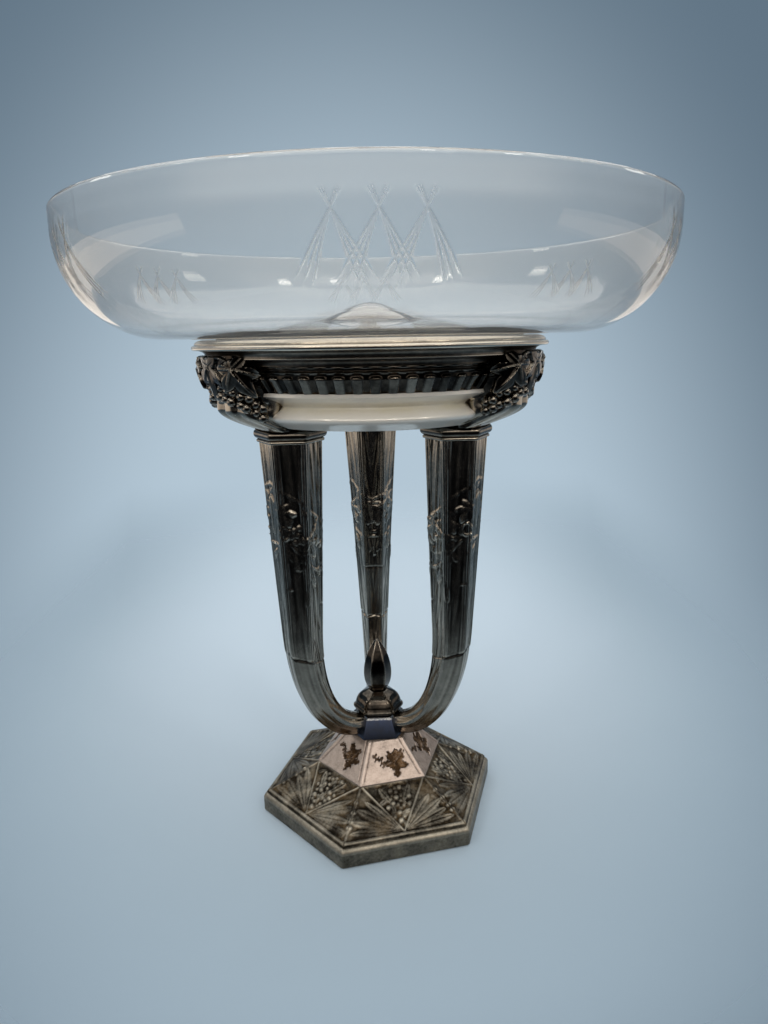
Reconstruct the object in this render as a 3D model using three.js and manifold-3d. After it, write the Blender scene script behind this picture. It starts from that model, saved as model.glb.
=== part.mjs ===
// Three-armed centrepiece: a wheel-cut glass bowl resting on a silver-plated stand.
// Millimetres, +Z up, origin on the table under the middle of the stand.
// Azimuth 0 points along -Y and grows towards +X. The arms stand at -60, 60 and 180 degrees.
import * as THREE from 'three';
import { mergeVertices } from 'three/addons/utils/BufferGeometryUtils.js';
import Module from 'manifold-3d';

const wasm = await Module();
wasm.setup();

const DEG = Math.PI / 180;
const HEX = 6;
const HEX_FLAT = Math.cos(30 * DEG);

// Fits
const JOINT_GAP = 0.3;
const ROD_CLEARANCE = 0.3;
const STUD_CLEARANCE = 0.3;
const SCREW_CLEARANCE = 0.3;
const TENON_CLEARANCE = 0.3;
const WEIGHT_CLEARANCE = 0.5;
const BOWL_FOOT_CLEARANCE = 0.8;
const NUT_STANDOFF = 1.5;

// Roundness: sides of the turned pieces
const BOWL_SIDES = 48;
const RING_SIDES = 36;
const SMALL_SIDES = 12;
const MOULDING_STEPS = 3;

// Base, from the table up: reaches are from the axis to a corner of the hexagon
const BASE_TURN = 11.5 * DEG;
const FELT_THICKNESS = 0.6;
const FELT_INSET = 2.5;
const PLINTH_REACH = 73.6;
const PLINTH_HEIGHT = 11;
const PLINTH_WALL = 11;
const PLINTH_FOOT_BEVEL = 0.4;
const PLINTH_TOP_BEVEL = 1.5;
const TIER_SETBACK = 2.6;
const TIER_HEIGHT = 16.55;
const TIER_TOP_REACH = 38.4;
const TIER_WALL = 5.5;
const TIER_CEILING = 2.5;
const CAP_OVERHANG = 0.6;
const CAP_LIP = 0.9;
const CAP_HEIGHT = 18.3;
const CAP_TOP_REACH = 20.6;

// Tie rod that clamps the base, the hub, the knob and the finial
const ROD_RADIUS = 3;
const ROD_IN_FINIAL = 10;
const ROD_PAST_NUT = 0.5;
const NUT_HEIGHT = 5;
const NUT_REACH = 6;
const WASHER_RADIUS = 9;
const WASHER_THICKNESS = 1.5;
const NUT_POCKET_SPACE = 2;

// Hub, knob and finial
const HUB_HEIGHT = 12;
const HUB_FOOT_REACH = 19.9;
const HUB_TOP_REACH = 14.8;
const HUB_BEVEL = 1.2;
const KNOB_FOOT_REACH = 12.5;
const KNOB_GIRDLE_REACH = 16.3;
const KNOB_TOP_REACH = 6.7;
const KNOB_FOOT_HEIGHT = 2;
const KNOB_GIRDLE_HEIGHT = 2.2;
const KNOB_SHOULDER_HEIGHT = 9;
const FINIAL_FOOT_REACH = 4.8;
const FINIAL_BELLY_REACH = 8.3;
const FINIAL_BELLY_HEIGHT = 12.5;
const FINIAL_HEIGHT = 33.4;
const FINIAL_STEPS = 10;

// Arms: a leaning straight stretch, then a full quarter bend into the hub
const ARM_AZIMUTHS = [-60, 60, 180];
const ARM_RISE = 177;
const ARM_TOP_RADIUS = 50.7;
const ARM_KNEE_RADIUS = 49;
const ARM_KNEE_RISE = 72.5;
const ARM_FOOT_RADIUS = 8;
const ARM_BEND_FULLNESS = 2.25;
const ARM_TOP_HALF_WIDTH = 16.7;
const ARM_FOOT_HALF_WIDTH = 6.7;
const ARM_WIDTH_TAPER = 1.3;
const ARM_TOP_HALF_DEPTH = 14.5;
const ARM_FOOT_HALF_DEPTH = 5.8;
const ARM_DEPTH_TAPER = 0.78;
const ARM_EDGE_WIDTH = 2.2;
const ARM_STRAIGHT_STEPS = 6;
const ARM_BEND_STEPS = 11;
const TENON_RADIUS = 4;
const TENON_LENGTH = 5.5;

// Collars and the studs that hold arm, collar, capital and dish together
const COLLAR_HEIGHT = 7.2;
const COLLAR_REACH = 19.6;
const COLLAR_WAIST_REACH = 17.2;
const COLLAR_BEAD_REACH = 18.2;
const COLLAR_BEAD_HEIGHT = 1.9;
const COLLAR_ROUND = 1.3;
const STUD_RADIUS = 2.5;
const STUD_IN_ARM = 14;
const STUD_NUT_REACH = 5;
const STUD_NUT_HEIGHT = 3.5;
const STUD_PAST_NUT = 1;

// Capitals: a smooth calyx that leans out of the collar, under a mass of vine leaves and grapes
const CAPITAL_SHOULDER = 1.5;
const CALYX_FOOT_HALF_WIDTH = 17;
const CALYX_NOSE_HALF_WIDTH = 20.3;
const CALYX_NOSE_RADIUS = 87.5;
const CALYX_HEIGHT = 16;
const CALYX_FLARE_HEIGHT = 12;
const CALYX_STEPS = 5;
const LEAF_RADIUS = 94.5;
const LEAF_FOOT_RADIUS = 89.5;
const LEAF_HALF_WIDTH = 27.2;
const LEAF_FOOT_HALF_WIDTH = 21.5;
const LEAF_OVERHANG = 1.2;
const LEAF_TOP_DROP = 7.4;
const LEAF_STEPS = 4;
const CAPITAL_POINTS = 24;
const CAPITAL_SQUARENESS = 0.72;
const GRAPE_RADIUS = 3;
const GRAPES_PER_SIDE = 4;
const GRAPE_TIP_DROP = 10;
const GRAPE_START = 0.45;
const CAPITAL_SCREW_RADIUS = 2;
const CAPITAL_SCREW_LENGTH = 10;
const CAPITAL_SCREW_HEAD_RADIUS = 3.6;
const CAPITAL_SCREW_HEAD_HEIGHT = 2.2;
const CAPITAL_SCREW_RISE = 6.5;

// Polished dish between the capitals
const DISH_HEIGHT = 18.65;
const DISH_WALL = 1.8;
const DISH_FOOT_RADIUS = 62;
const DISH_BULGE_RADIUS = 71.5;
const DISH_BULGE_RISE = 5.8;
const DISH_WAIST_RADIUS = 66.5;
const DISH_WAIST_RISE = 11.9;
const DISH_FLANGE = 1.8;
const DISH_CURVE_STEPS = 8;

// Fluted frieze
const FRIEZE_HEIGHT = 12.7;
const FRIEZE_FOOT_RADIUS = 76.5;
const FRIEZE_TOP_RADIUS = 81.3;
const FRIEZE_WALL = 6;
const FLUTE_COUNT = 60;
const FLUTE_DEPTH = 1.1;
const FLUTE_HEIGHT = 8;
const FLUTE_ARCH = 1.3;
const FLUTE_POINTS = 2;

// Moulded ring that carries the bowl
const RING_HEIGHT = 12.5;
const RING_RADIUS = 95.6;
const RING_FOOT_LEDGE = 0.7;
const RING_FILLET_RADIUS = 88.9;
const RING_FILLET_RISE = 3.2;
const RING_FILLET_HEIGHT = 0.8;
const RING_BEAD_RISE = 8.4;
const RING_BEAD_RADIUS = 1.25;
const RING_BEAD_ARC = 60 * DEG;
const RING_SEAT_RADIUS = 88.5;
const RING_BORE_RADIUS = 82.2;
const RING_POCKET_DEPTH = 6.2;
const RING_FLANGE_WIDTH = 7.3;

// Glass bowl
const BOWL_RIM_RADIUS = 155;
const BOWL_DEPTH = 58.6;
const BOWL_CORNER_RADIUS = 47.8;
const BOWL_WALL = 3;
const BOWL_FLOOR = 2.4;
const BOWL_CORNER_INSET = 3.8;
const BOWL_FOOT_DEPTH = 5;
const BOWL_FOOT_WIDTH = 6;
const BOWL_KICK_RADIUS = 34;
const BOWL_KICK_HEIGHT = 14;
const BOWL_CORNER_STEPS = 7;
const BOWL_KICK_STEPS = 4;
const BOWL_LIFT_GAP = 0.2;

// Heights of the joints between the pieces
const PLINTH_Z = FELT_THICKNESS;
const TIER_Z = PLINTH_Z + PLINTH_HEIGHT;
const CAP_Z = TIER_Z + TIER_HEIGHT;
const HUB_Z = CAP_Z + CAP_HEIGHT;
const ARM_FOOT_Z = HUB_Z + HUB_HEIGHT / 2;
const KNOB_Z = HUB_Z + HUB_HEIGHT;
const FINIAL_Z = KNOB_Z + KNOB_FOOT_HEIGHT + KNOB_GIRDLE_HEIGHT + KNOB_SHOULDER_HEIGHT;
const COLLAR_Z = ARM_FOOT_Z + ARM_RISE;
const CAPITAL_Z = COLLAR_Z + COLLAR_HEIGHT;
const DISH_Z = CAPITAL_Z + CAPITAL_SHOULDER;
const FRIEZE_Z = DISH_Z + DISH_HEIGHT;
const RING_Z = FRIEZE_Z + FRIEZE_HEIGHT;
const SEAT_Z = RING_Z + RING_HEIGHT;
const BOWL_Z = SEAT_Z + BOWL_LIFT_GAP;
const CAPITAL_SCREW_Z = FRIEZE_Z + CAPITAL_SCREW_RISE;

// Widths that follow a neighbour
const ROD_HOLE_REACH = (ROD_RADIUS + ROD_CLEARANCE) / HEX_FLAT;
const FRIEZE_BORE_RADIUS = Math.min(FRIEZE_FOOT_RADIUS, FRIEZE_TOP_RADIUS) - FRIEZE_WALL;
const RING_FOOT_RADIUS = FRIEZE_TOP_RADIUS + RING_FOOT_LEDGE;
const RING_FLANGE_BORE = FRIEZE_TOP_RADIUS - RING_FLANGE_WIDTH;

// Finishes
const finishes = {
  tarnish: new THREE.MeshStandardMaterial({ color: 0x4a4743, roughness: 0.38, metalness: 1 }),
  baseTarnish: new THREE.MeshStandardMaterial({ color: 0x6f655a, roughness: 0.45, metalness: 1 }),
  rubbed: new THREE.MeshStandardMaterial({ color: 0x9e9480, roughness: 0.3, metalness: 1 }),
  polish: new THREE.MeshStandardMaterial({ color: 0xd9d4c4, roughness: 0.14, metalness: 1 }),
  steel: new THREE.MeshStandardMaterial({ color: 0x8b8d8f, roughness: 0.4, metalness: 1 }),
  iron: new THREE.MeshStandardMaterial({ color: 0x3a3836, roughness: 0.8, metalness: 0.6 }),
  felt: new THREE.MeshStandardMaterial({ color: 0x27402f, roughness: 0.95, metalness: 0 }),
  glass: new THREE.MeshStandardMaterial({
    color: 0xdfe9ec,
    roughness: 0.04,
    metalness: 0,
    transparent: true,
    opacity: 0.3,
  }),
};

// A turned piece, or a many-sided one with few sides: [radius, height] pairs swung round the axis.
function turned(profile, sides, cornerAzimuth = 0) {
  const points = profile.map(([radius, height]) => new THREE.Vector2(radius, height));
  const geometry = new THREE.LatheGeometry(points, sides, cornerAzimuth);
  geometry.rotateX(Math.PI / 2);
  return geometry;
}

// A six-sided piece with a flat face at azimuth 0.
function hexagonal(profile) {
  return turned(profile, HEX, 30 * DEG);
}

// A profile that comes back to where it started, for a piece with a hole through it.
function closed(profile) {
  return [...profile, profile[0]];
}

// A skin over rings of equally many points, its two end rings closed by fans.
function lofted(rings) {
  const count = rings[0].length;
  const positions = rings.flat().flatMap((point) => [point.x, point.y, point.z]);
  const index = [];
  for (let ring = 0; ring + 1 < rings.length; ring++) {
    for (let i = 0; i < count; i++) {
      const a = ring * count + i;
      const b = ring * count + ((i + 1) % count);
      index.push(a, b, a + count, b, b + count, a + count);
    }
  }
  const last = (rings.length - 1) * count;
  for (let i = 1; i + 1 < count; i++) {
    index.push(0, i + 1, i);
    index.push(last, last + i, last + i + 1);
  }
  return indexed(positions, index);
}

// A skin over rings of equally many points whose last ring joins the first, for a fluted ring.
function ringLofted(rings) {
  const count = rings[0].length;
  const positions = rings.flat().flatMap((point) => [point.x, point.y, point.z]);
  const index = [];
  for (let ring = 0; ring < rings.length; ring++) {
    const next = (ring + 1) % rings.length;
    for (let i = 0; i < count; i++) {
      const a = ring * count + i;
      const b = ring * count + ((i + 1) % count);
      const c = next * count + i;
      const d = next * count + ((i + 1) % count);
      index.push(a, b, c, b, d, c);
    }
  }
  return indexed(positions, index);
}

function indexed(positions, index) {
  const geometry = new THREE.BufferGeometry();
  geometry.setAttribute('position', new THREE.Float32BufferAttribute(positions, 3));
  geometry.setIndex(index);
  return geometry;
}

// The closed solid inside a geometry, for joining and cutting.
function solid(geometry) {
  const bare = geometry.clone();
  bare.deleteAttribute('normal');
  bare.deleteAttribute('uv');
  const merged = mergeVertices(bare);
  const corners = merged.index.array;
  const triVerts = [];
  for (let i = 0; i < corners.length; i += 3) {
    const [a, b, c] = corners.slice(i, i + 3);
    if (a !== b && b !== c && c !== a) {
      triVerts.push(a, b, c);
    }
  }
  const vertProperties = new Float32Array(merged.attributes.position.array);
  const mesh = new wasm.Mesh({ numProp: 3, vertProperties, triVerts: new Uint32Array(triVerts) });
  return new wasm.Manifold(mesh);
}

function geometryOf(manifold) {
  const mesh = manifold.getMesh();
  return indexed(Array.from(mesh.vertProperties), Array.from(mesh.triVerts));
}

function cut(geometry, ...tools) {
  return geometryOf(tools.reduce((left, tool) => left.subtract(solid(tool)), solid(geometry)));
}

function joined(geometry, ...others) {
  return geometryOf(others.reduce((sum, other) => sum.add(solid(other)), solid(geometry)));
}

// An upright round bar between two heights, at a distance from the axis along azimuth 0.
function uprightBar(radius, low, high, distance = 0) {
  const bar = turned([[0, low], [radius, low], [radius, high], [0, high]], SMALL_SIDES);
  return bar.translate(0, -distance, 0);
}

// A level round bar along azimuth 0 between two distances from the axis.
function levelBar(radius, near, far, height) {
  const bar = turned([[0, near], [radius, near], [radius, far], [0, far]], SMALL_SIDES);
  return bar.rotateX(Math.PI / 2).translate(0, 0, height);
}

// A point at a distance from the axis along azimuth 0, aside by a sideways offset.
function placed(distance, aside, height) {
  return new THREE.Vector3(aside, -distance, height);
}

function feltPad() {
  const reach = PLINTH_REACH - FELT_INSET;
  return hexagonal([[0, 0], [reach, 0], [reach, FELT_THICKNESS], [0, FELT_THICKNESS]]);
}

function plinth() {
  const inner = PLINTH_REACH - PLINTH_WALL;
  return hexagonal(closed([
    [inner, PLINTH_Z],
    [PLINTH_REACH - PLINTH_FOOT_BEVEL, PLINTH_Z],
    [PLINTH_REACH, PLINTH_Z + PLINTH_FOOT_BEVEL],
    [PLINTH_REACH, TIER_Z - PLINTH_TOP_BEVEL],
    [PLINTH_REACH - PLINTH_TOP_BEVEL, TIER_Z],
    [inner, TIER_Z],
  ]));
}

const TIER_FOOT_REACH = PLINTH_REACH - TIER_SETBACK;

// How far the tier's sloping faces reach at a height above the plinth.
function tierReach(rise) {
  return THREE.MathUtils.lerp(TIER_FOOT_REACH, TIER_TOP_REACH, rise / TIER_HEIGHT);
}

function facetTier() {
  const ceiling = TIER_HEIGHT - TIER_CEILING;
  return hexagonal(closed([
    [TIER_FOOT_REACH - TIER_WALL, TIER_Z],
    [TIER_FOOT_REACH, TIER_Z],
    [TIER_TOP_REACH, CAP_Z],
    [ROD_HOLE_REACH, CAP_Z],
    [ROD_HOLE_REACH, TIER_Z + ceiling],
    [tierReach(ceiling) - TIER_WALL, TIER_Z + ceiling],
  ]));
}

const NUT_POCKET_CEILING = PLINTH_Z + NUT_STANDOFF + NUT_HEIGHT + WASHER_THICKNESS;

function baseWeight() {
  const ceiling = TIER_HEIGHT - TIER_CEILING;
  const pocket = (WASHER_RADIUS + NUT_POCKET_SPACE) / HEX_FLAT;
  const inPlinth = PLINTH_REACH - PLINTH_WALL - WEIGHT_CLEARANCE / HEX_FLAT;
  const inTier = TIER_FOOT_REACH - TIER_WALL - WEIGHT_CLEARANCE / HEX_FLAT;
  const top = tierReach(ceiling) - TIER_WALL - WEIGHT_CLEARANCE / HEX_FLAT;
  return hexagonal(closed([
    [pocket, PLINTH_Z],
    [inPlinth, PLINTH_Z],
    [Math.min(inPlinth, inTier), TIER_Z],
    [top, TIER_Z + ceiling - JOINT_GAP],
    [ROD_HOLE_REACH, TIER_Z + ceiling - JOINT_GAP],
    [ROD_HOLE_REACH, NUT_POCKET_CEILING],
    [pocket, NUT_POCKET_CEILING],
  ]));
}

function baseCap() {
  const reach = TIER_TOP_REACH + CAP_OVERHANG;
  return hexagonal(closed([
    [ROD_HOLE_REACH, CAP_Z],
    [reach, CAP_Z],
    [reach, CAP_Z + CAP_LIP],
    [CAP_TOP_REACH, HUB_Z],
    [ROD_HOLE_REACH, HUB_Z],
  ]));
}

function tieWasher() {
  const bottom = NUT_POCKET_CEILING - WASHER_THICKNESS;
  const bore = ROD_RADIUS + ROD_CLEARANCE;
  return turned(closed([
    [bore, bottom],
    [WASHER_RADIUS, bottom],
    [WASHER_RADIUS, NUT_POCKET_CEILING],
    [bore, NUT_POCKET_CEILING],
  ]), SMALL_SIDES);
}

function tieNut() {
  const bottom = PLINTH_Z + NUT_STANDOFF;
  const top = bottom + NUT_HEIGHT;
  return hexagonal(closed([
    [ROD_HOLE_REACH, bottom],
    [NUT_REACH, bottom],
    [NUT_REACH, top],
    [ROD_HOLE_REACH, top],
  ]));
}

function tieRod() {
  return uprightBar(ROD_RADIUS, PLINTH_Z + NUT_STANDOFF - ROD_PAST_NUT, FINIAL_Z + ROD_IN_FINIAL);
}

// The hub's outline, swelled by a gap where a neighbour is cut to fit it.
function hubOutline(gap) {
  const bevelReach = HUB_TOP_REACH + (HUB_FOOT_REACH - HUB_TOP_REACH) * (HUB_BEVEL / HUB_HEIGHT);
  return [
    [HUB_FOOT_REACH + gap, HUB_Z - gap],
    [HUB_FOOT_REACH + gap, HUB_Z],
    [bevelReach + gap, KNOB_Z - HUB_BEVEL],
    [HUB_TOP_REACH - HUB_BEVEL + gap, KNOB_Z + gap],
  ];
}

// Distance of a hub face from the axis at the height of the arms.
const HUB_FACE_RADIUS = (HUB_FOOT_REACH + HUB_TOP_REACH) / 2 * HEX_FLAT;

function hubBlock() {
  const block = hexagonal(closed([
    [ROD_HOLE_REACH, HUB_Z],
    ...hubOutline(0).slice(1),
    [ROD_HOLE_REACH, KNOB_Z],
  ]));
  const sockets = ARM_AZIMUTHS.map((azimuth) =>
    levelBar(TENON_RADIUS + TENON_CLEARANCE, HUB_FACE_RADIUS - TENON_LENGTH - TENON_CLEARANCE,
      HUB_FOOT_REACH, ARM_FOOT_Z).rotateZ(azimuth * DEG));
  return cut(block, ...sockets);
}

// The knob's outline, swelled by a gap where the arms are cut to clear it.
function knobOutline(gap) {
  const girdle = KNOB_Z + KNOB_FOOT_HEIGHT;
  return [
    [KNOB_FOOT_REACH + gap, KNOB_Z - gap],
    [KNOB_GIRDLE_REACH + gap, girdle - gap],
    [KNOB_GIRDLE_REACH + gap, girdle + KNOB_GIRDLE_HEIGHT],
    [KNOB_TOP_REACH + gap, FINIAL_Z + gap],
  ];
}

function knob() {
  return hexagonal(closed([[ROD_HOLE_REACH, KNOB_Z], ...knobOutline(0), [ROD_HOLE_REACH, FINIAL_Z]]));
}

function finial() {
  const outline = new THREE.CubicBezierCurve(
    new THREE.Vector2(FINIAL_FOOT_REACH, FINIAL_Z),
    new THREE.Vector2(2 * FINIAL_BELLY_REACH - FINIAL_FOOT_REACH, FINIAL_Z + FINIAL_BELLY_HEIGHT / 2),
    new THREE.Vector2(FINIAL_BELLY_REACH, FINIAL_Z + 2 * FINIAL_BELLY_HEIGHT),
    new THREE.Vector2(0, FINIAL_Z + FINIAL_HEIGHT),
  );
  const body = outline.getPoints(FINIAL_STEPS).map((point) => [Math.max(point.x, 0), point.y]);
  const holeTop = FINIAL_Z + ROD_IN_FINIAL + ROD_CLEARANCE;
  return hexagonal([[0, holeTop], [ROD_HOLE_REACH, holeTop], [ROD_HOLE_REACH, FINIAL_Z], ...body]);
}

// Stations of the arm's centre line from the collar down to the hub, each with its direction.
function armStations() {
  const knee = ARM_FOOT_Z + ARM_KNEE_RISE;
  const stations = [];
  for (let i = 0; i < ARM_STRAIGHT_STEPS; i++) {
    const share = i / ARM_STRAIGHT_STEPS;
    stations.push(new THREE.Vector2(
      THREE.MathUtils.lerp(ARM_TOP_RADIUS, ARM_KNEE_RADIUS, share),
      THREE.MathUtils.lerp(COLLAR_Z, knee, share),
    ));
  }
  const fullness = 2 / ARM_BEND_FULLNESS;
  for (let i = 0; i <= ARM_BEND_STEPS; i++) {
    const angle = 90 * DEG * (i / ARM_BEND_STEPS);
    stations.push(new THREE.Vector2(
      ARM_FOOT_RADIUS + (ARM_KNEE_RADIUS - ARM_FOOT_RADIUS) * Math.max(Math.cos(angle), 0) ** fullness,
      knee - ARM_KNEE_RISE * Math.sin(angle) ** fullness,
    ));
  }
  return stations;
}

// One six-sided section of an arm with its narrow edge flats, square to a direction in the arm's plane.
function armSection(centre, direction, halfWidth, halfDepth) {
  const inward = new THREE.Vector2(direction.y, -direction.x);
  const corners = [
    new THREE.Vector2(halfDepth, -halfWidth / 2),
    new THREE.Vector2(halfDepth, halfWidth / 2),
    new THREE.Vector2(0, halfWidth),
    new THREE.Vector2(-halfDepth, halfWidth / 2),
    new THREE.Vector2(-halfDepth, -halfWidth / 2),
    new THREE.Vector2(0, -halfWidth),
  ];
  return corners.flatMap((corner, i) => {
    const next = corners[(i + 1) % HEX];
    const inset = ARM_EDGE_WIDTH / 2 / corner.distanceTo(next);
    return [inset, 1 - inset].map((share) => {
      const point = corner.clone().lerp(next, share);
      return placed(centre.x + inward.x * point.x, point.y, centre.y + inward.y * point.x);
    });
  });
}

function arm() {
  const stations = armStations();
  const lengths = stations.map((point, i) => (i ? point.distanceTo(stations[i - 1]) : 0));
  const total = lengths.reduce((sum, length) => sum + length, 0);
  let run = 0;
  const rings = stations.map((point, i) => {
    run += lengths[i];
    const direction = new THREE.Vector2(0, -1);
    if (i === stations.length - 1) {
      direction.set(-1, 0);
    } else if (i > 0) {
      direction.subVectors(stations[i + 1], stations[i - 1]).normalize();
    }
    const left = Math.max(1 - run / total, 0);
    return armSection(point, direction,
      THREE.MathUtils.lerp(ARM_FOOT_HALF_WIDTH, ARM_TOP_HALF_WIDTH, left ** ARM_WIDTH_TAPER),
      THREE.MathUtils.lerp(ARM_FOOT_HALF_DEPTH, ARM_TOP_HALF_DEPTH, left ** ARM_DEPTH_TAPER));
  });
  const gap = JOINT_GAP / HEX_FLAT;
  const hubSpace = hexagonal([[0, HUB_Z - HUB_HEIGHT], [HUB_FOOT_REACH + gap, HUB_Z - HUB_HEIGHT],
    ...hubOutline(gap), [0, KNOB_Z + gap]]);
  const knobSpace = hexagonal([[0, KNOB_Z - gap], ...knobOutline(gap), [0, FINIAL_Z + gap]]);
  const studHole = uprightBar(STUD_RADIUS + STUD_CLEARANCE, COLLAR_Z - STUD_IN_ARM - STUD_CLEARANCE,
    COLLAR_Z + COLLAR_HEIGHT, ARM_TOP_RADIUS);
  const tenon = levelBar(TENON_RADIUS, HUB_FACE_RADIUS - TENON_LENGTH, HUB_FOOT_REACH, ARM_FOOT_Z);
  return joined(cut(lofted(rings), hubSpace, knobSpace, studHole), tenon);
}

function collar() {
  const waist = COLLAR_Z + COLLAR_BEAD_HEIGHT;
  const bore = (STUD_RADIUS + STUD_CLEARANCE) / HEX_FLAT;
  const moulding = hexagonal(closed([
    [bore, COLLAR_Z],
    [COLLAR_WAIST_REACH, COLLAR_Z],
    [COLLAR_BEAD_REACH, COLLAR_Z + COLLAR_BEAD_HEIGHT / 2],
    [COLLAR_WAIST_REACH, waist],
    [COLLAR_REACH, waist + COLLAR_ROUND],
    [COLLAR_REACH, CAPITAL_Z - COLLAR_ROUND],
    [COLLAR_REACH - COLLAR_ROUND, CAPITAL_Z],
    [bore, CAPITAL_Z],
  ]));
  return moulding.translate(0, -ARM_TOP_RADIUS, 0);
}

function armStud() {
  const top = DISH_Z + DISH_WALL + STUD_NUT_HEIGHT + STUD_PAST_NUT;
  return uprightBar(STUD_RADIUS, COLLAR_Z - STUD_IN_ARM, top, ARM_TOP_RADIUS);
}

function armNut() {
  const bottom = DISH_Z + DISH_WALL;
  const top = bottom + STUD_NUT_HEIGHT;
  const bore = (STUD_RADIUS + STUD_CLEARANCE) / HEX_FLAT;
  const nut = hexagonal(closed([
    [bore, bottom],
    [STUD_NUT_REACH, bottom],
    [STUD_NUT_REACH, top],
    [bore, top],
  ]));
  return nut.translate(0, -ARM_TOP_RADIUS, 0);
}

// Outside of the dish from its foot up to its flange.
function dishOutline() {
  const curve = new THREE.SplineCurve([
    new THREE.Vector2(DISH_FOOT_RADIUS, DISH_Z),
    new THREE.Vector2(DISH_BULGE_RADIUS, DISH_Z + DISH_BULGE_RISE),
    new THREE.Vector2(DISH_WAIST_RADIUS, DISH_Z + DISH_WAIST_RISE),
    new THREE.Vector2(FRIEZE_FOOT_RADIUS, FRIEZE_Z - DISH_FLANGE),
  ]);
  return curve.getPoints(DISH_CURVE_STEPS).map((point) => [point.x, point.y]);
}

function dish() {
  const outside = dishOutline();
  const inside = outside.slice(1).reverse().map(([radius, height]) => [radius - DISH_WALL, height]);
  const shell = turned([
    [0, DISH_Z],
    ...outside,
    [FRIEZE_FOOT_RADIUS, FRIEZE_Z],
    [FRIEZE_FOOT_RADIUS - DISH_WALL, FRIEZE_Z],
    ...inside.slice(1, -1),
    [DISH_FOOT_RADIUS - DISH_WALL, DISH_Z + DISH_WALL],
    [0, DISH_Z + DISH_WALL],
  ], RING_SIDES);
  const holes = ARM_AZIMUTHS.map((azimuth) =>
    uprightBar(STUD_RADIUS + STUD_CLEARANCE, CAPITAL_Z, FRIEZE_Z, ARM_TOP_RADIUS).rotateZ(azimuth * DEG));
  return cut(shell, ...holes);
}

// One level ring of points round the axis, with the flutes sunk into it where it has any.
function fluteRing(radius, depth, height) {
  const count = FLUTE_COUNT * FLUTE_POINTS;
  return Array.from({ length: count }, (_, i) => {
    const azimuth = 360 * DEG * (i / count);
    const r = radius - (i % FLUTE_POINTS ? depth : 0);
    return placed(r * Math.cos(azimuth), r * Math.sin(azimuth), height);
  });
}

function frieze() {
  const fluteTop = FRIEZE_Z + FLUTE_HEIGHT;
  const drum = ringLofted([
    fluteRing(FRIEZE_FOOT_RADIUS, FLUTE_DEPTH, FRIEZE_Z),
    fluteRing(FRIEZE_TOP_RADIUS, FLUTE_DEPTH, fluteTop - FLUTE_ARCH),
    fluteRing(FRIEZE_TOP_RADIUS, 0, fluteTop),
    fluteRing(FRIEZE_TOP_RADIUS, 0, RING_Z),
    fluteRing(FRIEZE_BORE_RADIUS, 0, RING_Z),
    fluteRing(FRIEZE_BORE_RADIUS, 0, FRIEZE_Z),
  ]);
  const holes = ARM_AZIMUTHS.map((azimuth) =>
    levelBar(CAPITAL_SCREW_RADIUS + SCREW_CLEARANCE, 0, LEAF_RADIUS, CAPITAL_SCREW_Z).rotateZ(azimuth * DEG));
  return cut(drum, ...holes);
}

// Part of a circle as [radius, height] pairs, both ends included.
function arcPoints(centreRadius, centreHeight, size, fromAngle, toAngle, steps) {
  return Array.from({ length: steps + 1 }, (_, i) => {
    const angle = THREE.MathUtils.lerp(fromAngle, toAngle, i / steps);
    return [centreRadius + size * Math.cos(angle), centreHeight + size * Math.sin(angle)];
  });
}

// A quarter moulding that leaves one point upright and reaches the other level: hollow where it
// runs outwards, rounded where it runs inwards.
function quarterMoulding(fromRadius, fromHeight, toRadius, toHeight) {
  const curve = new THREE.QuadraticBezierCurve(
    new THREE.Vector2(fromRadius, fromHeight),
    new THREE.Vector2(fromRadius, toHeight),
    new THREE.Vector2(toRadius, toHeight),
  );
  return curve.getPoints(MOULDING_STEPS).map((point) => [point.x, point.y]);
}

// Underside of the ring, from its foot out to its bead.
function ringUnderside() {
  const fillet = RING_Z + RING_FILLET_RISE;
  const bead = RING_Z + RING_BEAD_RISE;
  return [
    ...quarterMoulding(RING_FOOT_RADIUS, RING_Z, RING_FILLET_RADIUS, fillet),
    ...quarterMoulding(RING_FILLET_RADIUS, fillet + RING_FILLET_HEIGHT,
      RING_RADIUS - RING_BEAD_RADIUS, bead - RING_BEAD_RADIUS),
  ];
}

function bowlRing() {
  const bead = RING_Z + RING_BEAD_RISE;
  const pocket = SEAT_Z - RING_POCKET_DEPTH;
  const beadCentre = RING_RADIUS - RING_BEAD_RADIUS;
  return turned(closed([
    [RING_FLANGE_BORE, RING_Z],
    ...ringUnderside(),
    ...arcPoints(beadCentre, bead, RING_BEAD_RADIUS, -RING_BEAD_ARC, RING_BEAD_ARC, MOULDING_STEPS),
    ...quarterMoulding(beadCentre, bead + RING_BEAD_RADIUS, RING_SEAT_RADIUS, SEAT_Z),
    [RING_BORE_RADIUS, SEAT_Z],
    [RING_BORE_RADIUS, pocket],
    [RING_FLANGE_BORE, pocket],
  ]), RING_SIDES);
}

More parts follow.
